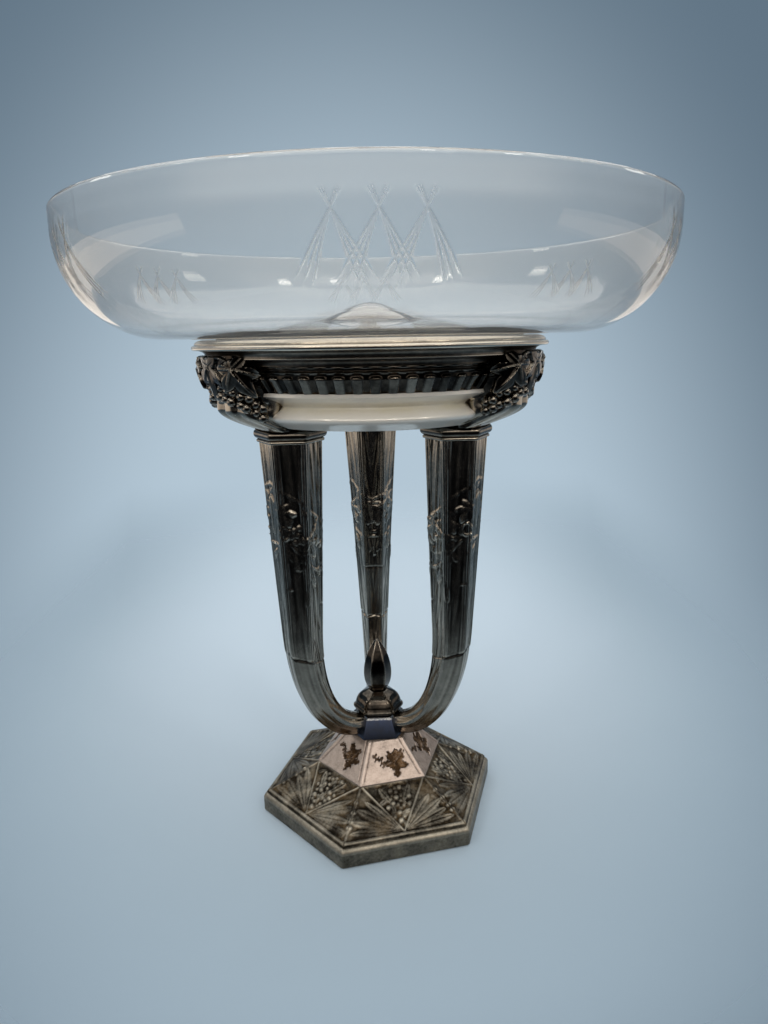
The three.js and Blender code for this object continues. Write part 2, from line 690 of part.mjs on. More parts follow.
// Everything that the capitals stand round, as one solid swelled by the joint gap, flats included.
function holderBody() {
  const overFlats = 1 / Math.cos(180 * DEG / RING_SIDES);
  const swell = (radius) => (radius + JOINT_GAP) * overFlats;
  const swelled = [
    ...dishOutline(),
    [FRIEZE_FOOT_RADIUS, FRIEZE_Z],
    [FRIEZE_TOP_RADIUS, FRIEZE_Z + FLUTE_HEIGHT - FLUTE_ARCH],
    [FRIEZE_TOP_RADIUS, RING_Z - JOINT_GAP],
  ].map(([radius, height]) => [swell(radius), height]);
  const under = ringUnderside().map(([radius, height]) => [swell(radius), height - JOINT_GAP]);
  return turned([
    [0, DISH_Z - JOINT_GAP],
    [DISH_FOOT_RADIUS, DISH_Z - JOINT_GAP],
    ...swelled,
    ...under,
    [swell(RING_RADIUS), SEAT_Z],
    [0, SEAT_Z],
  ], RING_SIDES);
}

// A level section of a capital: rounded off outwards, reaching from one radius to another.
function capitalSection(near, far, halfWidth, height) {
  const middle = (near + far) / 2;
  const depth = (far - near) / 2;
  return Array.from({ length: CAPITAL_POINTS }, (_, i) => {
    const angle = 360 * DEG * (i / CAPITAL_POINTS);
    const across = Math.sign(Math.sin(angle)) * Math.abs(Math.sin(angle)) ** CAPITAL_SQUARENESS;
    const along = Math.sign(Math.cos(angle)) * Math.abs(Math.cos(angle)) ** CAPITAL_SQUARENESS;
    return placed(middle + depth * along, halfWidth * across, height);
  });
}

const NECK_NEAR = ARM_TOP_RADIUS - CALYX_FOOT_HALF_WIDTH;
const NECK_FAR = ARM_TOP_RADIUS + CALYX_FOOT_HALF_WIDTH;
const CALYX_TOP_Z = CAPITAL_Z + CALYX_HEIGHT;

function calyx() {
  const rings = Array.from({ length: CALYX_STEPS + 1 }, (_, i) => {
    const share = i / CALYX_STEPS;
    const flare = Math.sin(90 * DEG * Math.min(1, CALYX_HEIGHT * share / CALYX_FLARE_HEIGHT));
    return capitalSection(NECK_NEAR, THREE.MathUtils.lerp(NECK_FAR, CALYX_NOSE_RADIUS, flare),
      THREE.MathUtils.lerp(CALYX_FOOT_HALF_WIDTH, CALYX_NOSE_HALF_WIDTH, flare),
      CAPITAL_Z + CALYX_HEIGHT * share);
  });
  return lofted(rings);
}

function leafMass() {
  const top = SEAT_Z - LEAF_TOP_DROP;
  const low = CALYX_TOP_Z - LEAF_OVERHANG;
  const rings = Array.from({ length: LEAF_STEPS + 1 }, (_, i) => {
    const share = i / LEAF_STEPS;
    const swell = Math.sin(90 * DEG * share);
    return capitalSection(DISH_FOOT_RADIUS, THREE.MathUtils.lerp(LEAF_FOOT_RADIUS, LEAF_RADIUS, swell),
      THREE.MathUtils.lerp(LEAF_FOOT_HALF_WIDTH, LEAF_HALF_WIDTH, swell),
      THREE.MathUtils.lerp(low, top, share));
  });
  return lofted(rings);
}

// Grapes hanging in two strings, from under the leaves down the two sides of the calyx.
function grapes() {
  const start = CALYX_TOP_Z + GRAPE_RADIUS;
  const strings = [-1, 1].map((side) => Array.from({ length: GRAPES_PER_SIDE }, (_, i) => {
    const share = THREE.MathUtils.lerp(GRAPE_START, 1, i / (GRAPES_PER_SIDE - 1));
    const grape = new THREE.IcosahedronGeometry(GRAPE_RADIUS, 1);
    const distance = THREE.MathUtils.lerp(CALYX_NOSE_RADIUS, FRIEZE_FOOT_RADIUS + GRAPE_RADIUS, share);
    const aside = side * CALYX_NOSE_HALF_WIDTH * Math.sin(90 * DEG * share);
    return grape.translate(aside, -distance, start - GRAPE_TIP_DROP * share * share);
  }));
  return strings.flat();
}

function capital() {
  const studHole = uprightBar(STUD_RADIUS + STUD_CLEARANCE, COLLAR_Z, SEAT_Z, ARM_TOP_RADIUS);
  const screwHole = levelBar(CAPITAL_SCREW_RADIUS + SCREW_CLEARANCE, 0,
    FRIEZE_TOP_RADIUS + CAPITAL_SCREW_LENGTH, CAPITAL_SCREW_Z);
  return cut(joined(calyx(), leafMass(), ...grapes()), holderBody(), studHole, screwHole);
}

function capitalScrew() {
  const seat = FRIEZE_BORE_RADIUS;
  const head = seat - CAPITAL_SCREW_HEAD_HEIGHT - JOINT_GAP;
  const tip = FRIEZE_TOP_RADIUS + CAPITAL_SCREW_LENGTH - SCREW_CLEARANCE;
  const screw = turned([
    [0, head],
    [CAPITAL_SCREW_HEAD_RADIUS, head],
    [CAPITAL_SCREW_HEAD_RADIUS, seat - JOINT_GAP],
    [CAPITAL_SCREW_RADIUS, seat - JOINT_GAP],
    [CAPITAL_SCREW_RADIUS, tip],
    [0, tip],
  ], SMALL_SIDES);
  return screw.rotateX(Math.PI / 2).translate(0, 0, CAPITAL_SCREW_Z);
}

// A soft rise in the middle of the bowl's floor, as [radius, height] pairs from the axis outwards.
function kickUp(height, floor) {
  return Array.from({ length: BOWL_KICK_STEPS + 1 }, (_, i) => {
    const share = i / BOWL_KICK_STEPS;
    return [BOWL_KICK_RADIUS * share, floor + height * Math.cos(90 * DEG * share) ** 2];
  });
}

function glassBowl() {
  const rim = BOWL_Z + BOWL_DEPTH;
  const cornerRadius = BOWL_RIM_RADIUS - BOWL_CORNER_RADIUS;
  const cornerZ = BOWL_Z + BOWL_CORNER_RADIUS;
  const footOuter = RING_BORE_RADIUS - BOWL_FOOT_CLEARANCE;
  const footZ = BOWL_Z - BOWL_FOOT_DEPTH;
  const floor = BOWL_Z + BOWL_FLOOR;
  const innerCorner = BOWL_CORNER_RADIUS - BOWL_CORNER_INSET;
  const innerRadius = BOWL_RIM_RADIUS - BOWL_WALL;
  return turned([
    ...kickUp(BOWL_KICK_HEIGHT, BOWL_Z),
    [footOuter - BOWL_FOOT_WIDTH, BOWL_Z],
    [footOuter - BOWL_FOOT_WIDTH, footZ],
    [footOuter, footZ],
    [footOuter, BOWL_Z],
    ...arcPoints(cornerRadius, cornerZ, BOWL_CORNER_RADIUS, -90 * DEG, 0, BOWL_CORNER_STEPS),
    [BOWL_RIM_RADIUS, rim - BOWL_WALL / 2],
    [BOWL_RIM_RADIUS - BOWL_WALL / 2, rim],
    [innerRadius, rim - BOWL_WALL / 2],
    ...arcPoints(innerRadius - innerCorner, floor + innerCorner, innerCorner, 0, -90 * DEG,
      BOWL_CORNER_STEPS),
    ...kickUp(BOWL_KICK_HEIGHT, floor).reverse(),
  ], BOWL_SIDES);
}

function piece(name, geometry, finish) {
  const mesh = new THREE.Mesh(geometry, finish);
  mesh.name = name;
  return mesh;
}

const base = new THREE.Group();
base.rotation.z = BASE_TURN;
base.add(
  piece('felt_pad', feltPad(), finishes.felt),
  piece('base_plinth', plinth(), finishes.baseTarnish),
  piece('facet_tier', facetTier(), finishes.baseTarnish),
  piece('base_weight', baseWeight(), finishes.iron),
  piece('base_cap', baseCap(), finishes.baseTarnish),
);

const centre = new THREE.Group();
centre.add(
  piece('tie_washer', tieWasher(), finishes.steel),
  piece('tie_nut', tieNut(), finishes.steel),
  piece('tie_rod', tieRod(), finishes.steel),
  piece('hub_block', hubBlock(), finishes.tarnish),
  piece('knob', knob(), finishes.tarnish),
  piece('finial', finial(), finishes.tarnish),
);

const armNames = ['left', 'right', 'back'];
const arms = ARM_AZIMUTHS.map((azimuth, i) => {
  const group = new THREE.Group();
  group.rotation.z = azimuth * DEG;
  group.add(
    piece(`arm_${armNames[i]}`, arm(), finishes.tarnish),
    piece(`arm_collar_${armNames[i]}`, collar(), finishes.tarnish),
    piece(`arm_stud_${armNames[i]}`, armStud(), finishes.steel),
    piece(`arm_nut_${armNames[i]}`, armNut(), finishes.steel),
    piece(`capital_${armNames[i]}`, capital(), finishes.tarnish),
    piece(`capital_screw_${armNames[i]}`, capitalScrew(), finishes.steel),
  );
  return group;
});

const holder = new THREE.Group();
holder.add(
  piece('holder_dish', dish(), finishes.polish),
  piece('fluted_frieze', frieze(), finishes.tarnish),
  piece('bowl_ring', bowlRing(), finishes.rubbed),
);

const centrepiece = new THREE.Group();
centrepiece.add(base, centre, ...arms, holder, piece('glass_bowl', glassBowl(), finishes.glass));

export default centrepiece;
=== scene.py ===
"""Looks of a centrepiece: a wheel-cut glass bowl on a three-armed, silver-plated stand.

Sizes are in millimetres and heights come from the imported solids. Azimuth 0 points along -Y and grows
towards +X, so the arms stand at -60, 60 and 180 degrees. Each finer mesh replaces the solid whose place
it takes.
"""
import logging
import math
from dataclasses import dataclass, field
from enum import Enum
from functools import cache
from typing import Any, Callable

import bmesh
import bpy
import numpy as np
from mathutils import Matrix, Vector


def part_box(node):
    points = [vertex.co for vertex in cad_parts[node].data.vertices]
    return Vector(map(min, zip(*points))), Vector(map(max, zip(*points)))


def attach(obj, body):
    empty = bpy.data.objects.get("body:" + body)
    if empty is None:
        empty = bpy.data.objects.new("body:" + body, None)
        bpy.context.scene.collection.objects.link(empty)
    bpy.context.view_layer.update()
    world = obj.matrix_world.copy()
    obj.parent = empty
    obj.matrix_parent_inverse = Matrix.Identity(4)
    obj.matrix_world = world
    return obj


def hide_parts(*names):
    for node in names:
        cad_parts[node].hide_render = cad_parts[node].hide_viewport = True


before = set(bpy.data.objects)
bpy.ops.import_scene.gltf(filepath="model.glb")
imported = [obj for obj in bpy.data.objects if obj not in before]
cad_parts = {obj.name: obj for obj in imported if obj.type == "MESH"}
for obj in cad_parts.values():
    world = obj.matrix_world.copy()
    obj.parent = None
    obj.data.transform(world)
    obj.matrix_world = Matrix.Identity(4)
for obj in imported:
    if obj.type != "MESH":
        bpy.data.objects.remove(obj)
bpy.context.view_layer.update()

LOG = logging.getLogger("centrepiece")
MM = 0.001
HEX = 6
HEX_FLAT = math.cos(math.radians(30))
CORNER_STEPS = 4
CORNER_SHARE = 0.4
AXIS = 0.01
HEX_AXIS = 0.05
WEAR_AND_PAINTED_SHADE = "wear"
LEAST_WEAR = 0.03
NOISE_MIDDLE = 0.5
MOTTLE_WAVES = 14
MOTTLE_SPREAD = 3
WAYS = (-1, 1)
Array = np.ndarray
Pair = tuple[float, float]
Material = bpy.types.Material


class Body(Enum):
    """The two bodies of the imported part."""

    STAND = "stand"
    BOWL = "bowl"


class Slot(Enum):
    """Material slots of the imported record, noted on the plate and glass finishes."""

    TARNISHED = "tarnished_plate"
    BASE = "base_plate"
    RUBBED = "rubbed_plate"
    POLISHED = "polished_plate"
    CRYSTAL = "crystal"


class Side(Enum):
    """The three arms, by the azimuth of each in degrees."""

    LEFT = -60
    RIGHT = 60
    BACK = 180

    @property
    def word(self) -> str:
        """The word that ends the names of this arm's pieces."""
        return self.name.lower()


def linear(code: str) -> tuple[float, float, float, float]:
    """Turns an sRGB colour into the linear one that shaders take.

    Args:
        code: six hex digits, with or without a leading hash.

    Returns:
        Linear red, green, blue and an alpha of 1.
    """
    digits = code.lstrip("#")
    parts = [int(digits[i:i + 2], 16) / 255 for i in (0, 2, 4)]
    red, green, blue = (c / 12.92 if c <= 0.04045 else ((c + 0.055) / 1.055) ** 2.4 for c in parts)
    return red, green, blue, 1.0


def add(tree: bpy.types.NodeTree, kind: str, links: dict | None = None, **settings: Any) -> bpy.types.Node:
    """Adds one node with its settings, and sets or links its inputs.

    Args:
        tree: the node tree that gets the node.
        kind: Blender's name of the node type, less its leading ShaderNode.
        links: input names or numbers, each with a value or with what feeds it: an output socket, or a
            node whose first output it is.
        settings: properties of the node itself.

    Returns:
        The new node.
    """
    node = tree.nodes.new("ShaderNode" + kind)
    for name, value in settings.items():
        setattr(node, name, value)
    for name, value in (links or {}).items():
        if isinstance(value, bpy.types.Node):
            value = value.outputs[0]
        if isinstance(value, bpy.types.NodeSocket):
            tree.links.new(value, node.inputs[name])
        else:
            node.inputs[name].default_value = value
    return node


def blank(name: str) -> tuple[Material, bpy.types.NodeTree]:
    """Starts a material and gives it with its node tree, which is empty."""
    made = bpy.data.materials.new(name)
    made.use_nodes = True
    made.node_tree.nodes.clear()
    return made, made.node_tree


def per_metre(size_mm: float) -> float:
    """The texture scale at which one feature of a pattern is about this many millimetres wide."""
    return 1000 / size_mm


def smooth(low: float, high: float, value: Array) -> Array:
    """A soft step from 0 at low to 1 at high."""
    share = np.clip((value - low) / (high - low), 0, 1)
    return share * share * (3 - 2 * share)


def polar(radius: Array, azimuth: Array, height: Array) -> Array:
    """Points from radius, azimuth in radians and height, stacked along a last axis of three."""
    radius, azimuth, height = np.broadcast_arrays(radius, azimuth, height)
    return np.stack([radius * np.sin(azimuth), -radius * np.cos(azimuth), height], axis=-1)


def span(node: str) -> Pair:
    """Heights of a solid's underside and top."""
    low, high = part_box(node)
    return low.z / MM, high.z / MM


def turned(points: Array, degrees: float) -> Array:
    """Points turned about the upright axis, a positive angle raising their azimuth."""
    angle = math.radians(degrees)
    cos, sin = math.cos(angle), math.sin(angle)
    return points @ np.array([[cos, -sin, 0], [sin, cos, 0], [0, 0, 1]]).T


def circle(count: int) -> Array:
    """Even azimuths of a full turn, in radians."""
    return np.radians(np.linspace(0, 360, count, endpoint=False))


def mirrored(turn: float, way: int) -> float:
    """A direction in degrees, mirrored where the way is to the left."""
    return turn if way > 0 else 180 - turn


def revolved(profile: Array, azimuths: Array) -> Array:
    """A profile of [radius, height] pairs swung through azimuths, as rows of points."""
    return polar(profile[:, :1], azimuths[None, :], profile[:, 1:])


def arc(centre: Pair, radius: float, start: float, end: float, steps: int) -> Array:
    """Part of a circle as [radius, height] pairs.

    Args:
        centre: radius and height of its middle.
        radius: the circle's own radius.
        start: first angle in degrees, 0 pointing outwards and 90 upwards.
        end: last angle in degrees.
        steps: how many stretches it has.

    Returns:
        The points, both ends included.
    """
    angles = np.radians(np.linspace(start, end, steps + 1))
    return np.stack([centre[0] + radius * np.cos(angles), centre[1] + radius * np.sin(angles)], axis=-1)


def quarter(start: Pair, end: Pair, steps: int) -> Array:
    """A quarter moulding that leaves one [radius, height] point upright and reaches the other level."""
    share = np.linspace(0, 1, steps + 1)[:, None]
    corner = np.array([start[0], end[1]])
    return (1 - share) ** 2 * np.array(start) + 2 * share * (1 - share) * corner + share ** 2 * np.array(end)


def spline(knots: Array, steps: int) -> Array:
    """A smooth curve through points.

    Args:
        knots: the points, one in each row.
        steps: even steps between each two of them.

    Returns:
        The points of the curve, both ends included.
    """
    padded = np.vstack([2 * knots[0] - knots[1], knots, 2 * knots[-1] - knots[-2]])
    share = np.linspace(0, 1, steps, endpoint=False)[:, None]
    pieces = []
    for a, b, c, d in zip(padded, padded[1:], padded[2:], padded[3:]):
        pieces.append(0.5 * (2 * b + (c - a) * share + (2 * a - 5 * b + 4 * c - d) * share ** 2
                             + (3 * b - a - 3 * c + d) * share ** 3))
    return np.vstack([*pieces, knots[-1:]])


def joined(stretches: list[tuple[Array | list, float]]) -> tuple[Array, Array]:
    """Joins the stretches of a profile.

    Args:
        stretches: points of each stretch, and one wear value for all of them.

    Returns:
        The whole profile, and its wear as a column.
    """
    profile = np.vstack([points for points, _ in stretches])
    wear = np.concatenate([np.full(len(points), value) for points, value in stretches])
    return profile, wear[:, None]


def hex_ring(reach: float, rounding: float, per_side: int) -> Array:
    """A hexagon with rounded corners and a flat side at azimuth 0.

    Args:
        reach: distance of a sharp corner from the middle.
        rounding: radius of the corners.
        per_side: points along each side between two corners.

    Returns:
        Flat points with x aside and y outwards along azimuth 0, going round towards +x.
    """
    corners = []
    for corner in range(HEX):
        middle = math.radians(30 + 60 * corner)
        centre = (reach - rounding / HEX_FLAT) * np.array([math.sin(middle), math.cos(middle)])
        turn = middle + np.radians(np.linspace(-30, 30, CORNER_STEPS + 1))
        corners.append(centre + rounding * np.stack([np.sin(turn), np.cos(turn)], axis=-1))
    share = np.linspace(0, 1, per_side + 2)[1:-1, None]
    closed = []
    for corner, following in zip(corners, corners[1:] + corners[:1]):
        closed += [corner, corner[-1] + (following[0] - corner[-1]) * share]
    return np.vstack(closed)


def hex_rows(profile: Array, rounding: float, per_side: int) -> Array:
    """A six-sided piece.

    Args:
        profile: [reach, height] pairs.
        rounding: radius of its corners, where the reach leaves room for it.
        per_side: points along each side between two corners.

    Returns:
        One row of points for each pair.
    """
    rows = []
    for reach, height in profile:
        ring = hex_ring(reach, min(rounding, CORNER_SHARE * reach), per_side)
        rows.append(np.column_stack([ring[:, 0], -ring[:, 1], np.full(len(ring), height)]))
    return np.array(rows)


def raised(points: Array, height: Array) -> Array:
    """Moves a grid outwards along its normals.

    Args:
        points: rows by columns by three, the last column meeting the first.
        height: how far each point moves.

    Returns:
        The moved grid.
    """
    wide = np.concatenate([points[:, -1:], points, points[:, :1]], axis=1)
    normal = np.cross((wide[:, 2:] - wide[:, :-2]) / 2, np.gradient(points, axis=0))
    normal = normal / np.maximum(np.linalg.norm(normal, axis=-1, keepdims=True), 1e-12)
    outward = np.sign(np.sum(normal * (points - points.mean(axis=1, keepdims=True)), axis=-1).mean())
    return points + outward * normal * height[..., None]


def rubbed(height: Array, ground: Array | float, gain: float, passes: int = 14) -> Array:
    """Wear from relief: cloths rub what stands proud of its surroundings and miss what lies below them.

    Args:
        height: relief in millimetres over a grid whose last column meets its first.
        ground: wear of level stretches.
        gain: wear for each millimetre that a point stands proud.
        passes: how often the relief is evened out to find its surroundings.

    Returns:
        Wear between 0 and 1.
    """
    level = height.copy()
    for _ in range(passes):
        wide = np.pad(level, ((1, 1), (0, 0)), mode="edge")
        level = (level + wide[:-2] + wide[2:] + np.roll(level, 1, axis=1) + np.roll(level, -1, axis=1)) / 5
    return np.clip(ground + gain * (height - level), LEAST_WEAR, 1)


def mottle(points: Array, size: float, seed: int) -> Array:
    """Soft patches between 0 and 1, from waves that cross in all directions.

    Args:
        points: places in millimetres, with a last axis of three.
        size: about how wide a patch is.
        seed: picks the waves.

    Returns:
        One value for each place.
    """
    draw = np.random.default_rng(seed)
    total = np.zeros(points.shape[:-1])
    for _ in range(MOTTLE_WAVES):
        way = draw.normal(size=3)
        way = way / np.linalg.norm(way) * draw.uniform(0.6, 1.6)
        total = total + np.sin(points @ way * math.pi / size + draw.uniform(0, 2 * math.pi))
    return smooth(-MOTTLE_SPREAD, MOTTLE_SPREAD, total)


class Casting:
    """Gathers grids of points into one mesh, each point with its wear: 0 if sunk, 1 if rubbed bright; the
    dish's waist also takes painted shade through it.
    """

    MERGE_MM = 0.002
    BALL_ROWS = 9
    BALL_COLUMNS = 14
    DIMPLE = 0.12
    DIMPLE_SPREAD = 0.45

    def __init__(self) -> None:
        """Starts with no points."""
        self.points: list[Array] = []
        self.faces: list[Array] = []
        self.wear: list[Array] = []
        self.count = 0

    def grid(self, points: Array, wear: Array | float, wrap_rows: bool = False,
             capped: bool = False) -> "Casting":
        """Adds a grid of points and its four-sided faces, the last column meeting the first.

        Args:
            points: rows by columns by three, in millimetres.
            wear: one value for all, or values that spread over rows and columns.
            wrap_rows: whether the last row joins the first.
            capped: whether the first and last rows are closed by fans.

        Returns:
            The casting itself.
        """
        rows, columns = points.shape[:2]
        index = np.arange(rows * columns).reshape(rows, columns) + self.count
        self._keep(points.reshape(-1, 3), np.broadcast_to(wear, (rows, columns)).ravel())
        if wrap_rows:
            index = np.vstack([index, index[:1]])
        index = np.hstack([index, index[:, :1]])
        quads = np.stack([index[:-1, :-1], index[:-1, 1:], index[1:, 1:], index[1:, :-1]], axis=-1)
        self.faces.append(quads.reshape(-1, 4))
        if capped:
            for ring in (index[0], index[-1]):
                self._fan(ring)
        return self

    def _keep(self, points: Array, wear: Array) -> None:
        """Stores points and their wear."""
        self.points.append(points)
        self.wear.append(wear)
        self.count += len(points)

    def _fan(self, ring: Array) -> None:
        """Closes a ring of stored points with triangles round its middle."""
        stored = np.vstack(self.points)
        wear = np.concatenate(self.wear)
        centre = self.count
        self._keep(stored[ring[:-1]].mean(axis=0, keepdims=True), wear[ring[:1]])
        middle = np.full(len(ring) - 1, centre)
        self.faces.append(np.stack([ring[:-1], ring[1:], middle], axis=-1))

    def balls(self, centres: Array, radii: Array, wear: float) -> None:
        """Adds berries, each a ball with a small dimple left by its blossom, facing away from the axis.

        Args:
            centres: the middle of each.
            radii: the radius of each.
            wear: one value for all.
        """
        tilt = np.linspace(0, math.pi, self.BALL_ROWS)[:, None]
        turn = np.linspace(0, 2 * math.pi, self.BALL_COLUMNS, endpoint=False)[None, :]
        reach = 1 - self.DIMPLE * np.exp(-(tilt / self.DIMPLE_SPREAD) ** 2)
        ball = np.stack(np.broadcast_arrays(reach * np.sin(tilt) * np.cos(turn),
                                            reach * np.sin(tilt) * np.sin(turn),
                                            reach * np.cos(tilt)), axis=-1)
        for centre, radius in zip(centres, radii):
            outward = np.array([centre[0], centre[1], 0.0])
            outward = outward / np.linalg.norm(outward)
            aside = np.array([-outward[1], outward[0], 0.0])
            facing = np.stack([aside, np.array([0.0, 0.0, 1.0]), outward])
            self.grid(centre + radius * (ball @ facing), wear)

    def turn(self, degrees: float) -> "Casting":
        """Turns all that it holds about the upright axis."""
        self.points = [turned(block, degrees) for block in self.points]
        return self

    def piece(self, name: str, node: str, finish: "PlateFinish | GlassFinish", sharp: float,
              body: Body = Body.STAND) -> None:
        """Makes the object, sets it on its body and hides the solid that it stands for.

        Args:
            name: the piece's name.
            node: the solid that it replaces.
            finish: gives its material.
            sharp: edges that bend by more than this many degrees stay crisp.
            body: the body that carries it.
        """
        mesh = bpy.data.meshes.new(name)
        faces = [face for block in self.faces for face in block.tolist()]
        mesh.from_pydata((np.vstack(self.points) * MM).tolist(), [], faces)
        layer = mesh.attributes.new(WEAR_AND_PAINTED_SHADE, "FLOAT", "POINT")
        layer.data.foreach_set("value", np.concatenate(self.wear).astype(np.float32))
        shape = bmesh.new()
        shape.from_mesh(mesh)
        bmesh.ops.remove_doubles(shape, verts=shape.verts, dist=self.MERGE_MM * MM)
        bmesh.ops.recalc_face_normals(shape, faces=shape.faces)
        shape.to_mesh(mesh)
        shape.free()
        mesh.polygons.foreach_set("use_smooth", np.ones(len(mesh.polygons), dtype=bool))
        mesh.set_sharp_from_angle(angle=math.radians(sharp))
        mesh.materials.append(finish.material())
        piece = bpy.data.objects.new(name, mesh)
        bpy.context.scene.collection.objects.link(piece)
        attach(piece, body.value)
        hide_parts(node)
        LOG.info("%s: %d faces on %s", name, len(mesh.polygons), body.value)


@dataclass
class Relief:
    """Cast ornament as a height in millimetres over flat coordinates, built up motif by motif."""

    VEIN_PITCH = 2.6
    VEIN_SLANT = 1.4
    RIB_WIDTH = 0.35
    SMALL_LEAF_WIDTH = 0.42
    LOBES = ((0, 1.0, 40), (54, 0.86, 34), (-54, 0.86, 34), (112, 0.66, 36), (-112, 0.66, 36))
    LOBE_VEIN = 0.028
    TEETH = 13
    TOOTH = 0.05
    STEPS = 6

    across: Array
    along: Array
    height: Array = field(init=False)

    def __post_init__(self) -> None:
        """Starts from a plain ground."""
        self.across, self.along = np.broadcast_arrays(self.across, self.along)
        self.height = np.zeros(self.across.shape)

    def lay(self, motif: Array) -> None:
        """Lays a motif over what is there, the higher of the two showing."""
        self.height = np.maximum(self.height, motif)

    def local(self, root: Pair, turn: float) -> tuple[Array, Array]:
        """Coordinates along and beside an axis that leaves root, turned from the across axis."""
        angle = math.radians(turn)
        x, y = self.across - root[0], self.along - root[1]
        return x * math.cos(angle) + y * math.sin(angle), -x * math.sin(angle) + y * math.cos(angle)

    def berries(self, centres: list[Pair], radius: float, flat: float = 0.95) -> None:
        """Half-round berries.

        Args:
            centres: the middle of each.
            radius: of all of them.
            flat: their height as a share of the radius.
        """
        for x, y in centres:
            gap = (self.across - x) ** 2 + (self.along - y) ** 2
            self.lay(np.sqrt(np.maximum(radius ** 2 - gap, 0)) * flat)

    def lance(self, root: Pair, turn: float, length: float, width: float, rise: float) -> None:
        """A lance-shaped leaf with a sunk midrib and slanting veins.

        Args:
            root: where its stalk starts.
            turn: its direction in degrees.
            length: from stalk to tip.
            width: at its widest.
            rise: height of its middle.
        """
        run, side = self.local(root, turn)
        share = np.clip(run / length, 0, 1)
        half = np.maximum(width / 2 * np.sin(math.pi * share ** 1.4) ** 0.7, 1e-3)
        inside = np.clip(1 - (side / half) ** 2, 0, 1) * (run > 0) * (run < length)
        veins = 0.05 * rise * np.cos(2 * math.pi * (run - self.VEIN_SLANT * np.abs(side)) / self.VEIN_PITCH)
        rib = 0.5 * rise * np.exp(-(side / self.RIB_WIDTH) ** 2)
        self.lay((rise * inside ** 0.4 + veins - rib) * smooth(0, 0.12, inside))

    def tangle(self, draw: np.random.Generator, count: int, place: Callable[[float, float], Pair],
               size: float, rise: float) -> None:
        """Strews small leaves over a stretch, each turned its own way.

        Args:
            draw: source of the scatter.
            count: how many leaves.
            place: gives a root from two numbers between 0 and 1.
            size: mean length of a leaf.
            rise: height of the highest leaves.
        """
        for _ in range(count):
            length = size * draw.uniform(0.7, 1.3)
            self.lance(place(*draw.random(2)), draw.uniform(0, 360), length,
                       self.SMALL_LEAF_WIDTH * length, rise * draw.uniform(0.45, 1.0))

    def vine_leaf(self, root: Pair, turn: float, length: float, rise: float) -> None:
        """A five-lobed leaf with raised veins, domed between them.

        Args:
            root: where the veins meet.
            turn: direction of its middle lobe in degrees.
            length: of the middle lobe.
            rise: height of its face.
        """
        run, side = self.local(root, turn)
        reach, angle = np.hypot(run, side), np.degrees(np.arctan2(side, run))
        edge = np.full(reach.shape, 0.3)
        veins = np.zeros(reach.shape)
        for lobe, size, spread in self.LOBES:
            off = angle - lobe
            edge = np.maximum(edge, size * np.cos(np.radians(np.clip(off / spread, -1, 1) * 90)) ** 0.6)
            beside = reach * np.sin(np.radians(np.clip(off, -90, 90)))
            veins = np.maximum(veins, np.exp(-(beside / (self.LOBE_VEIN * length)) ** 2) * (np.abs(off) < 60)
                               * np.clip(size - reach / length, 0, 1))
        teeth = 1 + self.TOOTH * np.cos(np.radians(angle * self.TEETH))
        inside = 1 - reach / (length * edge * teeth)
        body = smooth(0, 0.14, inside) * rise * (0.72 + 0.28 * np.cos(np.radians(angle * 5)) * reach / length)
        self.lay((body + 0.4 * rise * veins) * (inside > 0))

    def ridge(self, points: list[Pair], width: float, rise: float) -> None:
        """A half-round stem or ridge.

        Args:
            points: the line that it follows.
            width: from side to side.
            rise: height of its middle.
        """
        gap = np.full(self.across.shape, np.inf)
        for (x0, y0), (x1, y1) in zip(points, points[1:]):
            dx, dy = x1 - x0, y1 - y0
            share = np.clip(((self.across - x0) * dx + (self.along - y0) * dy) / (dx * dx + dy * dy), 0, 1)
            gap = np.minimum(gap, np.hypot(self.across - x0 - share * dx, self.along - y0 - share * dy))
        self.lay(rise * np.sqrt(np.clip(1 - (2 * gap / width) ** 2, 0, 1)))

    def curve(self, knots: list[Pair], width: float, rise: float) -> None:
        """A stem along a smooth curve through knots."""
        self.ridge([tuple(point) for point in spline(np.array(knots, dtype=float), self.STEPS)], width, rise)


